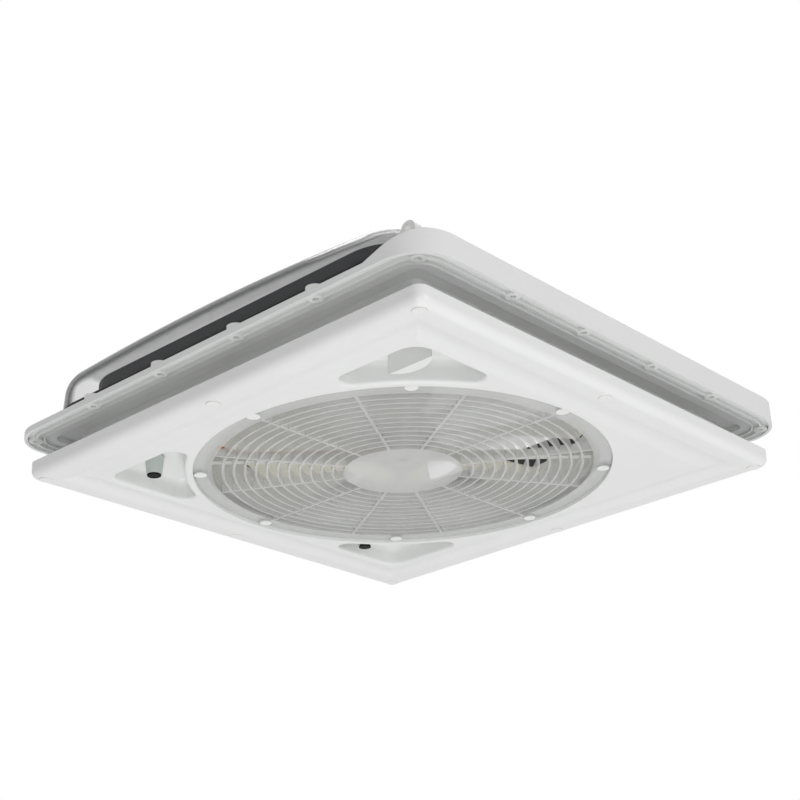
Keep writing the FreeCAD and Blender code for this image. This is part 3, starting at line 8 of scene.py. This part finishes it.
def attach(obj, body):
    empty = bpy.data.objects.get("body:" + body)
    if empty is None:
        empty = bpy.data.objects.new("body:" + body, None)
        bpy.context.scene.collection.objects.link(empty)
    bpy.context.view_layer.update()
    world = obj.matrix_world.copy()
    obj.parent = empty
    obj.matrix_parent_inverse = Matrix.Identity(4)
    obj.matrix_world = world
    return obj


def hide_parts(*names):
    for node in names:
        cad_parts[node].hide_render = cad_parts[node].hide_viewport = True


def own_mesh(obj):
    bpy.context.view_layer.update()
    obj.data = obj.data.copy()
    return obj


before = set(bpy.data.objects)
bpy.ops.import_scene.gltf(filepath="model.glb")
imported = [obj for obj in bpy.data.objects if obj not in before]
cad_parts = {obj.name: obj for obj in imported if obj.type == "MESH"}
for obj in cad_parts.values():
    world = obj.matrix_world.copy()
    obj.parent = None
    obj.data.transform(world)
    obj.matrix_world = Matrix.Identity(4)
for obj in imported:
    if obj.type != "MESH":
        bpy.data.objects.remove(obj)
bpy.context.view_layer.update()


# Outer frame: one white moulding that is screwed to the roof. It has a ribbed flange with its
# screw bosses, a kerb on the hinge side, and a neck and an upstand round the cut-out.
# It is injection moulded in a light grey-white plastic with a fine matt spark finish.
class Link:
    """A socket of a material, used in sums like a number."""

    def __init__(self, tree, socket=None):
        self.tree = tree
        self.socket = socket

    def make(self, kind, settings=None, sockets=None, output=0):
        """Add a node: its settings first, then the values and links of its sockets."""
        node = self.tree.nodes.new("ShaderNode" + kind)
        for name, value in (settings or {}).items():
            setattr(node, name, value)
        for name, value in (sockets or {}).items():
            if isinstance(value, Link):
                self.tree.links.new(value.socket, node.inputs[name])
            else:
                node.inputs[name].default_value = value
        return Link(self.tree, node.outputs[output])

    def sum(self, operation, first, second):
        return self.make("Math", {"operation": operation}, {0: first, 1: second})

    def __add__(self, other):
        return self.sum("ADD", self, other)

    def __radd__(self, other):
        return self.sum("ADD", other, self)

    def __sub__(self, other):
        return self.sum("SUBTRACT", self, other)

    def __rsub__(self, other):
        return self.sum("SUBTRACT", other, self)

    def __mul__(self, other):
        return self.sum("MULTIPLY", self, other)

    def __rmul__(self, other):
        return self.sum("MULTIPLY", other, self)

    def __abs__(self):
        return self.make("Math", {"operation": "ABSOLUTE"}, {0: self})

    def between(self, first, second):
        """Mix two colours, with this socket as the share of the second."""
        return self.make("Mix", {"data_type": "RGBA"}, {0: self, 6: first, 7: second}, output=2)

    def feed(self, shader, name):
        self.tree.links.new(self.socket, shader.inputs[name])


def tone(red, green, blue):
    """Colour from the 0 to 255 values that a screen shows."""
    linear = [((part / 255 + 0.055) / 1.055) ** 2.4 if part > 10 else part / 255 / 12.92
              for part in (red, green, blue)]
    return (*linear, 1.0)


def moulded(name, colour, roughness, grain, depth, edge=0.0005, spread=0.035):
    """Moulded plastic: slightly cloudy colour, uneven gloss, a fine grain and softened edges."""
    material = bpy.data.materials.new(name)
    material.use_nodes = True
    shader = material.node_tree.nodes["Principled BSDF"]
    start = Link(material.node_tree)
    spot = start.make("TexCoord", output="Object")
    cloud = start.make("TexNoise", sockets={"Vector": spot, "Scale": 14.0, "Detail": 4.0})
    speck = start.make("TexNoise", sockets={"Vector": spot, "Scale": 260.0, "Detail": 2.0})
    fine = start.make("TexNoise", sockets={"Vector": spot, "Scale": grain, "Detail": 2.0})
    share = cloud * 0.75 + speck * 0.25
    dark = tuple(part * (1 - spread) for part in colour[:3]) + (1.0,)
    light = tuple(min(part * (1 + spread), 1.0) for part in colour[:3]) + (1.0,)
    share.between(dark, light).feed(shader, "Base Color")
    (roughness - 0.09 + cloud * 0.12 + speck * 0.06).feed(shader, "Roughness")
    soft = start.make("Bevel", {"samples": 4}, {"Radius": edge})
    start.make("Bump", sockets={"Strength": 0.35, "Distance": depth, "Height": fine,
                                "Normal": soft}).feed(shader, "Normal")
    shader.inputs["IOR"].default_value = 1.5
    return material


def finish(material, *names):
    """Give the CAD's own solids their finish."""
    for name in names:
        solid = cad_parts[name]
        if solid.material_slots:
            for place in solid.material_slots:
                place.material = material
        else:
            solid.data.materials.append(material)


frame_plastic = moulded("frame_plastic", tone(228, 229, 228), 0.52, 1500.0, 0.00012)
finish(frame_plastic, "outer_frame", "hinge_brackets")


# Hinge pins: turned steel pins pressed into the brackets. Turning leaves fine rings along them.
def metal(name, colour, roughness, stretch=(60.0, 60.0, 900.0)):
    """Bare or plated metal with fine tool marks that run along the stretch."""
    material = bpy.data.materials.new(name)
    material.use_nodes = True
    shader = material.node_tree.nodes["Principled BSDF"]
    start = Link(material.node_tree)
    spot = start.make("TexCoord", output="Object")
    drawn = start.make("Mapping", sockets={"Vector": spot, "Scale": stretch})
    marks = start.make("TexNoise", sockets={"Vector": drawn, "Scale": 1.0, "Detail": 3.0})
    cloud = start.make("TexNoise", sockets={"Vector": spot, "Scale": 90.0, "Detail": 3.0})
    dark = tuple(part * 0.86 for part in colour[:3]) + (1.0,)
    (marks * 0.5 + cloud * 0.5).between(dark, colour).feed(shader, "Base Color")
    (roughness - 0.1 + marks * 0.14 + cloud * 0.06).feed(shader, "Roughness")
    soft = start.make("Bevel", {"samples": 4}, {"Radius": 0.0002})
    start.make("Bump", sockets={"Strength": 0.25, "Distance": 0.00004, "Height": marks,
                                "Normal": soft}).feed(shader, "Normal")
    shader.inputs["Metallic"].default_value = 1.0
    return material


steel = metal("steel", tone(206, 206, 203), 0.28)
finish(steel, "hinge_pins")


# Collar seal: a black rubber channel pushed over the top edge of the upstand. It is extruded,
# so it has a dull skin with faint lines along its length and a little bloom.
seal_rubber = moulded("seal_rubber", tone(50, 51, 53), 0.62, 700.0, 0.0001, spread=0.18)
finish(seal_rubber, "collar_seal")


# Lid: a smoked acrylic dome, drawn down over a mould, with two hinge knuckles. One sees through
# the sheet where one looks straight at it. It is dark where one looks along it, at the drawn
# shoulder and at its outline. Its lower edge carries painted shade: an opaque near-black band
# stands in for the shadowed gap between the dome and the flange.
shoulder_inner = 0.168
shoulder_outer = 0.182
# Heights between which the painted shade of the gap under the lower edge fades in.
gap_shade_fades = 0.0236
gap_shade_full = 0.0231


def smoked(name, colour, clear, dense):
    material = bpy.data.materials.new(name)
    material.use_nodes = True
    shader = material.node_tree.nodes["Principled BSDF"]
    start = Link(material.node_tree)
    spot = start.make("TexCoord", output="Object")
    wave = start.make("TexNoise", sockets={"Vector": spot, "Scale": 11.0, "Detail": 1.0})
    dust = start.make("TexNoise", sockets={"Vector": spot, "Scale": 420.0, "Detail": 3.0})
    slant = start.make("LayerWeight", sockets={"Blend": 0.5}, output=1)
    along = start.make("MapRange", sockets={"Value": slant, "From Min": 0.50, "From Max": 0.72})
    rim = start.make("MapRange", sockets={"Value": slant, "From Min": 0.72, "From Max": 0.93})
    x, y, height = (start.make("SeparateXYZ", sockets={"Vector": spot}, output=part) for part in range(3))
    reach = start.sum("MAXIMUM", abs(x), abs(y))
    shoulder = start.make("MapRange", sockets={"Value": reach, "From Min": shoulder_inner,
                                               "From Max": shoulder_outer})
    # Painted shade: below these heights the sheet turns opaque near-black and rougher, for the shadowed
    # gap under the dome's edge.
    edge = start.make("MapRange", sockets={"Value": height, "From Min": gap_shade_fades,
                                           "From Max": gap_shade_full})
    sheet = wave.between(colour, tone(64, 66, 69))
    edge.between(sheet, tone(20, 20, 21)).feed(shader, "Base Color")
    (0.05 + dust * 0.05 + edge * 0.3).feed(shader, "Roughness")
    cover = clear + start.sum("MAXIMUM", along * shoulder, rim) * (dense - clear)
    (cover + edge * (1 - cover)).feed(shader, "Alpha")
    start.make("Bump", sockets={"Strength": 0.2, "Distance": 0.0006,
                                "Height": wave}).feed(shader, "Normal")
    shader.inputs["IOR"].default_value = 1.49
    shader.inputs["Specular IOR Level"].default_value = 0.2
    return material


smoked_acrylic = smoked("smoked_acrylic", tone(50, 52, 55), 0.09, 0.70)
finish(smoked_acrylic, "dome")


# Lid rail: the slotted strip that the lift arm's pin slides in, in dark grey plastic.
box_plastic = moulded("box_plastic", tone(72, 73, 76), 0.48, 1300.0, 0.0001, spread=0.08)
finish(box_plastic, "dome_rail")


# Duct tray: a pale moulding that closes the neck round the fan and carries the duct ring, the
# gearbox and the control board.
duct_plastic = moulded("duct_plastic", tone(214, 214, 210), 0.55, 1200.0, 0.00012)
finish(duct_plastic, "duct_tray", "motor_bracket")


# Small screws: zinc-plated pan heads with a cross recess, driven into plastic bosses.
def shape_piece(name, shape, materials, body, slot, *stands_for):
    """Turn a bmesh into a piece that rides on a body and stands for CAD solids."""
    mesh = bpy.data.meshes.new(name)
    for face in shape.faces:
        face.smooth = True
    for edge in shape.edges:
        edge.smooth = len(edge.link_faces) == 2 and edge.calc_face_angle(0.0) < 0.6
    shape.to_mesh(mesh)
    shape.free()
    for material in materials:
        mesh.materials.append(material)
    piece = bpy.data.objects.new(name, mesh)
    bpy.context.scene.collection.objects.link(piece)
    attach(piece, body)
    if stands_for:
        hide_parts(*stands_for)
    return piece


def rod(shape, radius, length, place, far_radius=None, sides=32, bevel=0.0, paint=0):
    """Add a round bar or cone from z = 0 up, with its two rims bevelled, then place it."""
    made = bmesh.ops.create_cone(shape, cap_ends=True, cap_tris=False, segments=sides, radius1=radius,
                                 radius2=radius if far_radius is None else far_radius, depth=length,
                                 matrix=Matrix.Translation((0, 0, length / 2)))
    corners = made["verts"]
    rims = {edge for corner in corners for edge in corner.link_edges
            if abs(edge.verts[0].co.z - edge.verts[1].co.z) < 1e-6}
    if bevel:
        cut = bmesh.ops.bevel(shape, geom=list(rims), affect="EDGES", offset=bevel, segments=3,
                              profile=0.5, material=-1)
        corners = list({corner for corner in corners if corner.is_valid} | set(cut["verts"]))
    for face in {face for corner in corners for face in corner.link_faces}:
        face.material_index = paint
    bmesh.ops.transform(shape, matrix=place, verts=corners)


def block(shape, lengths, place, bevel=0.0, paint=0):
    """Add a box about its middle, with bevelled edges, then place it."""
    made = bmesh.ops.create_cube(shape, size=1.0, matrix=Matrix.Diagonal((*lengths, 1.0)))
    corners = made["verts"]
    edges = {edge for corner in corners for edge in corner.link_edges}
    if bevel:
        cut = bmesh.ops.bevel(shape, geom=list(edges), affect="EDGES", offset=bevel, segments=2,
                              profile=0.5, material=-1)
        corners = list({corner for corner in corners if corner.is_valid} | set(cut["verts"]))
    for face in {face for corner in corners for face in corner.link_faces}:
        face.material_index = paint
    bmesh.ops.transform(shape, matrix=place, verts=corners)


def pan_head_screw(shape, seat, axis, head, high, shank, length):
    """Screw whose head stands on the seat along the axis, with its shank the other way."""
    turn = Vector((0, 0, 1)).rotation_difference(Vector(axis)).to_matrix().to_4x4()
    at = Matrix.Translation(seat) @ turn
    rod(shape, head, high, at, far_radius=0.8 * head, bevel=0.25 * high)
    rod(shape, shank, length, at @ Matrix.Translation((0, 0, -length)), sides=16)
    for angle in (0.4, 0.4 + math.pi / 2):
        slot_place = at @ Matrix.Rotation(angle, 4, "Z") @ Matrix.Translation((0, 0, 0.93 * high))
        block(shape, (0.95 * head, 0.2 * head, 0.16 * high), slot_place, paint=1)


zinc = metal("zinc_screws", tone(208, 208, 200), 0.32, (300.0, 300.0, 300.0))
screw_recess = metal("screw_recess", tone(70, 70, 70), 0.6, (300.0, 300.0, 300.0))
tray_screw_reach = 0.185
tray_underside = -0.012
tray_screws = bmesh.new()
for side_x in (-tray_screw_reach, tray_screw_reach):
    for side_y in (-tray_screw_reach, tray_screw_reach):
        seat = (side_x, side_y, tray_underside)
        pan_head_screw(tray_screws, seat, (0, 0, -1), 0.00324, 0.0018, 0.0018, 0.012)
shape_piece("tray_screw_heads", tray_screws, (zinc, screw_recess), "vent", "zinc_screws", "tray_screws")


# Fan motor: a zinc-coated steel can in a cup with four arms. Its shaft runs in two sintered
# bronze bushings, and three screws hold the can to the cup.
motor_steel = metal("motor_steel", tone(186, 188, 188), 0.42, (200.0, 200.0, 500.0))
bronze = metal("bronze", tone(178, 140, 92), 0.45, (500.0, 500.0, 500.0))
finish(motor_steel, "motor_can", "motor_rotor")
finish(bronze, "motor_bushings")
motor_radius = 0.022
screw_circle = motor_radius * 0.68
cup_underside = -0.023
motor_screws = bmesh.new()
for angle in (90, 210, 330):
    turn = math.radians(angle)
    seat = (screw_circle * math.cos(turn), screw_circle * math.sin(turn), cup_underside)
    pan_head_screw(motor_screws, seat, (0, 0, -1), 0.0028, 0.0016, 0.0015, 0.0036)
shape_piece("motor_screw_heads", motor_screws, (zinc, screw_recess), "vent", "zinc_screws", "motor_screws")


# Motor leads: two soft insulated wires along one arm to the control board.
lead_orange = moulded("lead_orange", tone(214, 126, 58), 0.45, 900.0, 0.00006, edge=0.0002, spread=0.08)
lead_brown = moulded("lead_brown", tone(116, 78, 62), 0.45, 900.0, 0.00006, edge=0.0002, spread=0.08)
finish(lead_orange, "lead_live")
finish(lead_brown, "lead_return")


# Fan: a cream moulded wheel of eight twisted blades on a steel shaft, held by a push-on clip.
fan_plastic = moulded("fan_plastic", tone(226, 223, 212), 0.42, 1000.0, 0.0001)
finish(fan_plastic, "fan_impeller")
finish(steel, "fan_shaft", "fan_clip")


# Control board: green laminate on four posts, with a fuse, the speed switch under it and the
# few parts of the motor's speed control. Copper tracks show as paler lines under the varnish.
def laminate(name, colour, track):
    material = bpy.data.materials.new(name)
    material.use_nodes = True
    shader = material.node_tree.nodes["Principled BSDF"]
    start = Link(material.node_tree)
    spot = start.make("TexCoord", output="Object")
    cells = start.make("TexBrick", {"offset": 0.5, "squash": 1.0},
                       {"Vector": spot, "Scale": 60.0, "Mortar Size": 0.035, "Mortar Smooth": 0.1,
                        "Color1": (0, 0, 0, 1), "Color2": (0, 0, 0, 1), "Mortar": (1, 1, 1, 1)})
    weave = start.make("TexNoise", sockets={"Vector": spot, "Scale": 900.0, "Detail": 2.0})
    (cells * 0.75 + weave * 0.2).between(colour, track).feed(shader, "Base Color")
    (0.28 + weave * 0.12).feed(shader, "Roughness")
    start.make("Bump", sockets={"Strength": 0.4, "Distance": 0.0001,
                                "Height": cells + weave * 0.3}).feed(shader, "Normal")
    return material


board_green = laminate("board", tone(42, 104, 62), tone(96, 150, 96))
black_plastic = moulded("black_plastic", tone(10, 10, 11), 0.26, 1400.0, 0.00003, spread=0.15)
black_plastic.node_tree.nodes["Principled BSDF"].inputs["Specular IOR Level"].default_value = 0.03
finish(board_green, "control_board")
finish(black_plastic, "speed_switch", "power_switch", "fuse_holder")
capacitor_sleeve = moulded("capacitor_sleeve", tone(44, 58, 92), 0.3, 800.0, 0.00003, spread=0.1)
resistor_body = moulded("resistor_body", tone(206, 184, 146), 0.4, 800.0, 0.00004, spread=0.08)
connector_white = moulded("connector_white", tone(226, 224, 214), 0.4, 900.0, 0.00004)
board_finishes = (capacitor_sleeve, resistor_body, black_plastic, zinc, connector_white)
sleeve, ceramic, black, tin, white_nylon = range(5)
board_top = -0.0014
parts_on_board = bmesh.new()
for x, y, radius, high in ((-0.1635, -0.1625, 0.004, 0.011), (-0.1415, -0.1660, 0.0031, 0.008)):
    foot = Matrix.Translation((x, y, board_top))
    lid_place = Matrix.Translation((x, y, board_top + high))
    rod(parts_on_board, radius, high, foot, bevel=0.0005, paint=sleeve)
    rod(parts_on_board, 0.78 * radius, 0.0002, lid_place, paint=tin)
resistor_level = board_top + 0.0016
resistor_half = 0.0035
wire_half = 0.0058
lying = Matrix.Rotation(-math.pi / 2, 4, "X")
for x, y in ((-0.1680, -0.1500), (-0.1645, -0.1500)):
    side = Matrix.Translation((x, y - resistor_half, resistor_level)) @ lying
    rod(parts_on_board, 0.0012, 2 * resistor_half, side, sides=20, bevel=0.0004, paint=ceramic)
    wire = Matrix.Translation((x, y - wire_half, resistor_level)) @ lying
    rod(parts_on_board, 0.0003, 2 * wire_half, wire, sides=8, paint=tin)
    for end in (-wire_half, wire_half):
        leg = Matrix.Translation((x, y + end, board_top))
        rod(parts_on_board, 0.0003, 0.0016, leg, sides=8, paint=tin)
chip_x = -0.1372
chip_place = Matrix.Translation((chip_x, -0.1560, board_top + 0.0013))
block(parts_on_board, (0.0052, 0.0064, 0.0019), chip_place, bevel=0.0002, paint=black)
chip_leg_reach = 0.0031
chip_leg_pitch = 0.00127
for row in (-1, 1):
    for number in range(4):
        leg_y = -0.1579 + number * chip_leg_pitch
        leg = Matrix.Translation((chip_x + row * chip_leg_reach, leg_y, board_top + 0.0005))
        block(parts_on_board, (0.0014, 0.0005, 0.0008), leg, paint=tin)
plug_x = -0.1370
plug_y = -0.1445
plug_place = Matrix.Translation((plug_x, plug_y, board_top + 0.0034))
block(parts_on_board, (0.0070, 0.0046, 0.0068), plug_place, bevel=0.0003, paint=white_nylon)
for number in (-1, 1):
    way = Matrix.Translation((plug_x + number * 0.0016, plug_y, board_top + 0.0069))
    block(parts_on_board, (0.0022, 0.0030, 0.0004), way, paint=black)
shape_piece("board_parts", parts_on_board, board_finishes, "vent", "board")
board_screws = bmesh.new()
for x in (-0.134, -0.172):
    for y in (-0.134, -0.172):
        pan_head_screw(board_screws, (x, y, board_top), (0, 0, 1), 0.0024, 0.0016, 0.00125, 0.0016)
shape_piece("board_screw_heads", board_screws, (zinc, screw_recess), "vent", "zinc_screws", "board_screws")


# Inner trim: the white satin moulding under the ceiling. It has a rounded rim, a shallow square
# groove and three finger pockets, and eight screws under white caps hold it up.
trim_plastic = moulded("trim_plastic", tone(232, 233, 232), 0.36, 1700.0, 0.00006, edge=0.0008)
finish(trim_plastic, "trim_frame")
finish(zinc, "trim_screws")
cap_plastic = moulded("cap_plastic", tone(235, 236, 234), 0.36, 1400.0, 0.00005, edge=0.0004)
finish(cap_plastic, "trim_caps", "grille_studs")


# Grille: frosted plastic that lets some light through, so the motor shows faintly behind its
# hub disc. It is one moulding of deep rings and spokes, held by eight white press studs.
def frosted(name, colour, roughness, cover):
    """Frosted plastic: as the moulded one, but each skin hides only part of what lies behind."""
    material = moulded(name, colour, roughness, 1300.0, 0.00008, edge=0.0003)
    shader = material.node_tree.nodes["Principled BSDF"]
    shader.inputs["Alpha"].default_value = cover
    return material


frosted_plastic = frosted("frosted_plastic", tone(226, 227, 226), 0.52, 0.42)
finish(frosted_plastic, "grille")


# Speed knob: a pale green-grey cone with a glossy black end cap. The button beside it is black,
# in a grey guide tube, with a steel coil spring behind it.
grey_plastic = moulded("grey_plastic", tone(196, 204, 198), 0.34, 1300.0, 0.00005)
finish(grey_plastic, "speed_knob", "button_tube")
finish(black_plastic, "knob_cap", "power_button")
button_x = -0.163
button_y = 0.121
coil_radius = 0.0028
coil_wire = 0.00035
coil_low = -0.00745
coil_rise = 0.0048
spring_line = bpy.data.curves.new("spring_line", "CURVE")
spring_line.dimensions = "3D"
spring_line.bevel_depth = coil_wire
spring_line.bevel_resolution = 3
coil = spring_line.splines.new("NURBS")
turns = 5
per_turn = 12
coil.points.add(turns * per_turn)
for number, point in enumerate(coil.points):
    angle = 2 * math.pi * number / per_turn
    rise = coil_low + coil_rise * number / (turns * per_turn)
    x = button_x + coil_radius * math.cos(angle)
    y = button_y + coil_radius * math.sin(angle)
    point.co = (x, y, rise, 1.0)
coil.order_u = 3
coil.use_endpoint_u = True
coil_curve = bpy.data.objects.new("spring_curve", spring_line)
coil_mesh = bpy.data.meshes.new_from_object(coil_curve)
coil_mesh.materials.clear()
coil_mesh.materials.append(steel)
coil_mesh.shade_smooth()
return_coil = bpy.data.objects.new("return_coil", coil_mesh)
bpy.data.objects.remove(coil_curve)
bpy.context.scene.collection.objects.link(return_coil)
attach(return_coil, "vent")
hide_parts("button_spring")
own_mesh(return_coil)


# Crank and gearbox: a white D-shaped grip turns a worm, and the worm turns a toothed sector
# and the lift arm. The gears are natural acetal, the box is dark grey.
gear_plastic = moulded("gear_plastic", tone(234, 230, 216), 0.38, 1000.0, 0.00005, edge=0.0002)
finish(trim_plastic, "crank_handle")
finish(gear_plastic, "worm_spindle", "wheel_sector")
finish(box_plastic, "gearbox_housing", "gearbox_cover", "lift_arm")
finish(steel, "spindle_clip", "arm_pin")
finish(bronze, "spindle_bushes")
cover_face = -0.140
box_screws = bmesh.new()
for x in (0.114, 0.162):
    for z in (-0.005, 0.0475):
        pan_head_screw(box_screws, (x, cover_face, z), (0, 1, 0), 0.0025, 0.0016, 0.00125, 0.008)
shape_piece("gearbox_screw_heads", box_screws, (zinc, screw_recess), "vent", "zinc_screws",
            "gearbox_screws")


# Studio: a pale floor well below the part, a white surround for what the lens sees, and soft
# light from above and from below. The camera stands low and looks up, as in the photograph.
def seen_rays(tree):
    """1 for rays that come from the lens, pass a clear piece or leave a glossy one."""
    ray = tree.nodes.new("ShaderNodeLightPath")
    lens_ray, clear_ray, glossy_ray = (Link(tree, ray.outputs["Is %s Ray" % kind])
                                       for kind in ("Camera", "Transmission", "Glossy"))
    start = Link(tree)
    return start.sum("MAXIMUM", start.sum("MAXIMUM", lens_ray, clear_ray), glossy_ray)


floor_level = -1.45
floor_half = 400.0
floor_shape = bmesh.new()
bmesh.ops.create_grid(floor_shape, x_segments=1, y_segments=1, size=floor_half,
                      matrix=Matrix.Translation((0, 0, floor_level)))
floor_mesh = bpy.data.meshes.new("floor")
floor_shape.to_mesh(floor_mesh)
floor_shape.free()
floor_paint = bpy.data.materials.new("floor_paint")
floor_paint.use_nodes = True
paint_tree = floor_paint.node_tree
floor_shader = paint_tree.nodes["Principled BSDF"]
floor_shader.inputs["Base Color"].default_value = (0.93, 0.93, 0.93, 1.0)
floor_shader.inputs["Roughness"].default_value = 0.9
floor_start = Link(paint_tree)
seen = seen_rays(paint_tree)
white = floor_start.make("Emission", sockets={"Color": (1, 1, 1, 1), "Strength": 1.0})
dull = Link(paint_tree, floor_shader.outputs["BSDF"])
blend = floor_start.make("MixShader", sockets={0: seen * 0.6, 1: dull, 2: white})
paint_tree.links.new(blend.socket, paint_tree.nodes["Material Output"].inputs["Surface"])
floor_mesh.materials.append(floor_paint)
floor = bpy.data.objects.new("floor", floor_mesh)
bpy.context.scene.collection.objects.link(floor)

world = bpy.data.worlds.new("studio")
bpy.context.scene.world = world
world.use_nodes = True
sky_tree = world.node_tree
sky = sky_tree.nodes["Background"]
sky.inputs["Color"].default_value = (1, 1, 1, 1)
sky_seen = seen_rays(sky_tree)
(sky_seen * 0.53 + 0.47).feed(sky, "Strength")


def soft_lamp(name, place, aim, width, watts):
    lamp = bpy.data.lights.new(name, "AREA")
    lamp.shape = "DISK"
    lamp.size = width
    lamp.energy = watts
    holder = bpy.data.objects.new(name, lamp)
    holder.location = place
    holder.rotation_euler = (Vector(aim) - Vector(place)).to_track_quat("-Z", "Y").to_euler()
    holder.visible_camera = False
    bpy.context.scene.collection.objects.link(holder)


soft_lamp("lamp_above", (-0.4, 0.5, 1.9), (0, 0, 0), 1.8, 28.0)
soft_lamp("lamp_below", (0.1, -0.1, -1.3), (0, 0, 0), 0.7, 4.0)
soft_lamp("lamp_near", (1.05, -1.1, -0.7), (0, 0, 0), 0.6, 3.5)
soft_lamp("lamp_right", (1.7, 0.1, -0.1), (0, 0, 0), 0.8, 6.5)

lens = bpy.data.cameras.new("camera")
lens.lens = 74.05
lens.sensor_width = 36.0
lens.sensor_fit = "AUTO"
lens.clip_start = 0.01
lens.clip_end = 100.0
camera = bpy.data.objects.new("camera", lens)
camera_place = (0.8861, -0.9799, -0.5575)
right = (0.73121, 0.68137, -0.03273)
up = (0.30067, -0.27886, 0.91206)
back = (0.61232, -0.67674, -0.40877)
camera_turn = Matrix((right, up, back)).transposed().to_4x4()
camera.matrix_world = Matrix.Translation(camera_place) @ camera_turn
bpy.context.scene.collection.objects.link(camera)
bpy.context.scene.camera = camera
bpy.context.scene.view_settings.view_transform = "Standard"
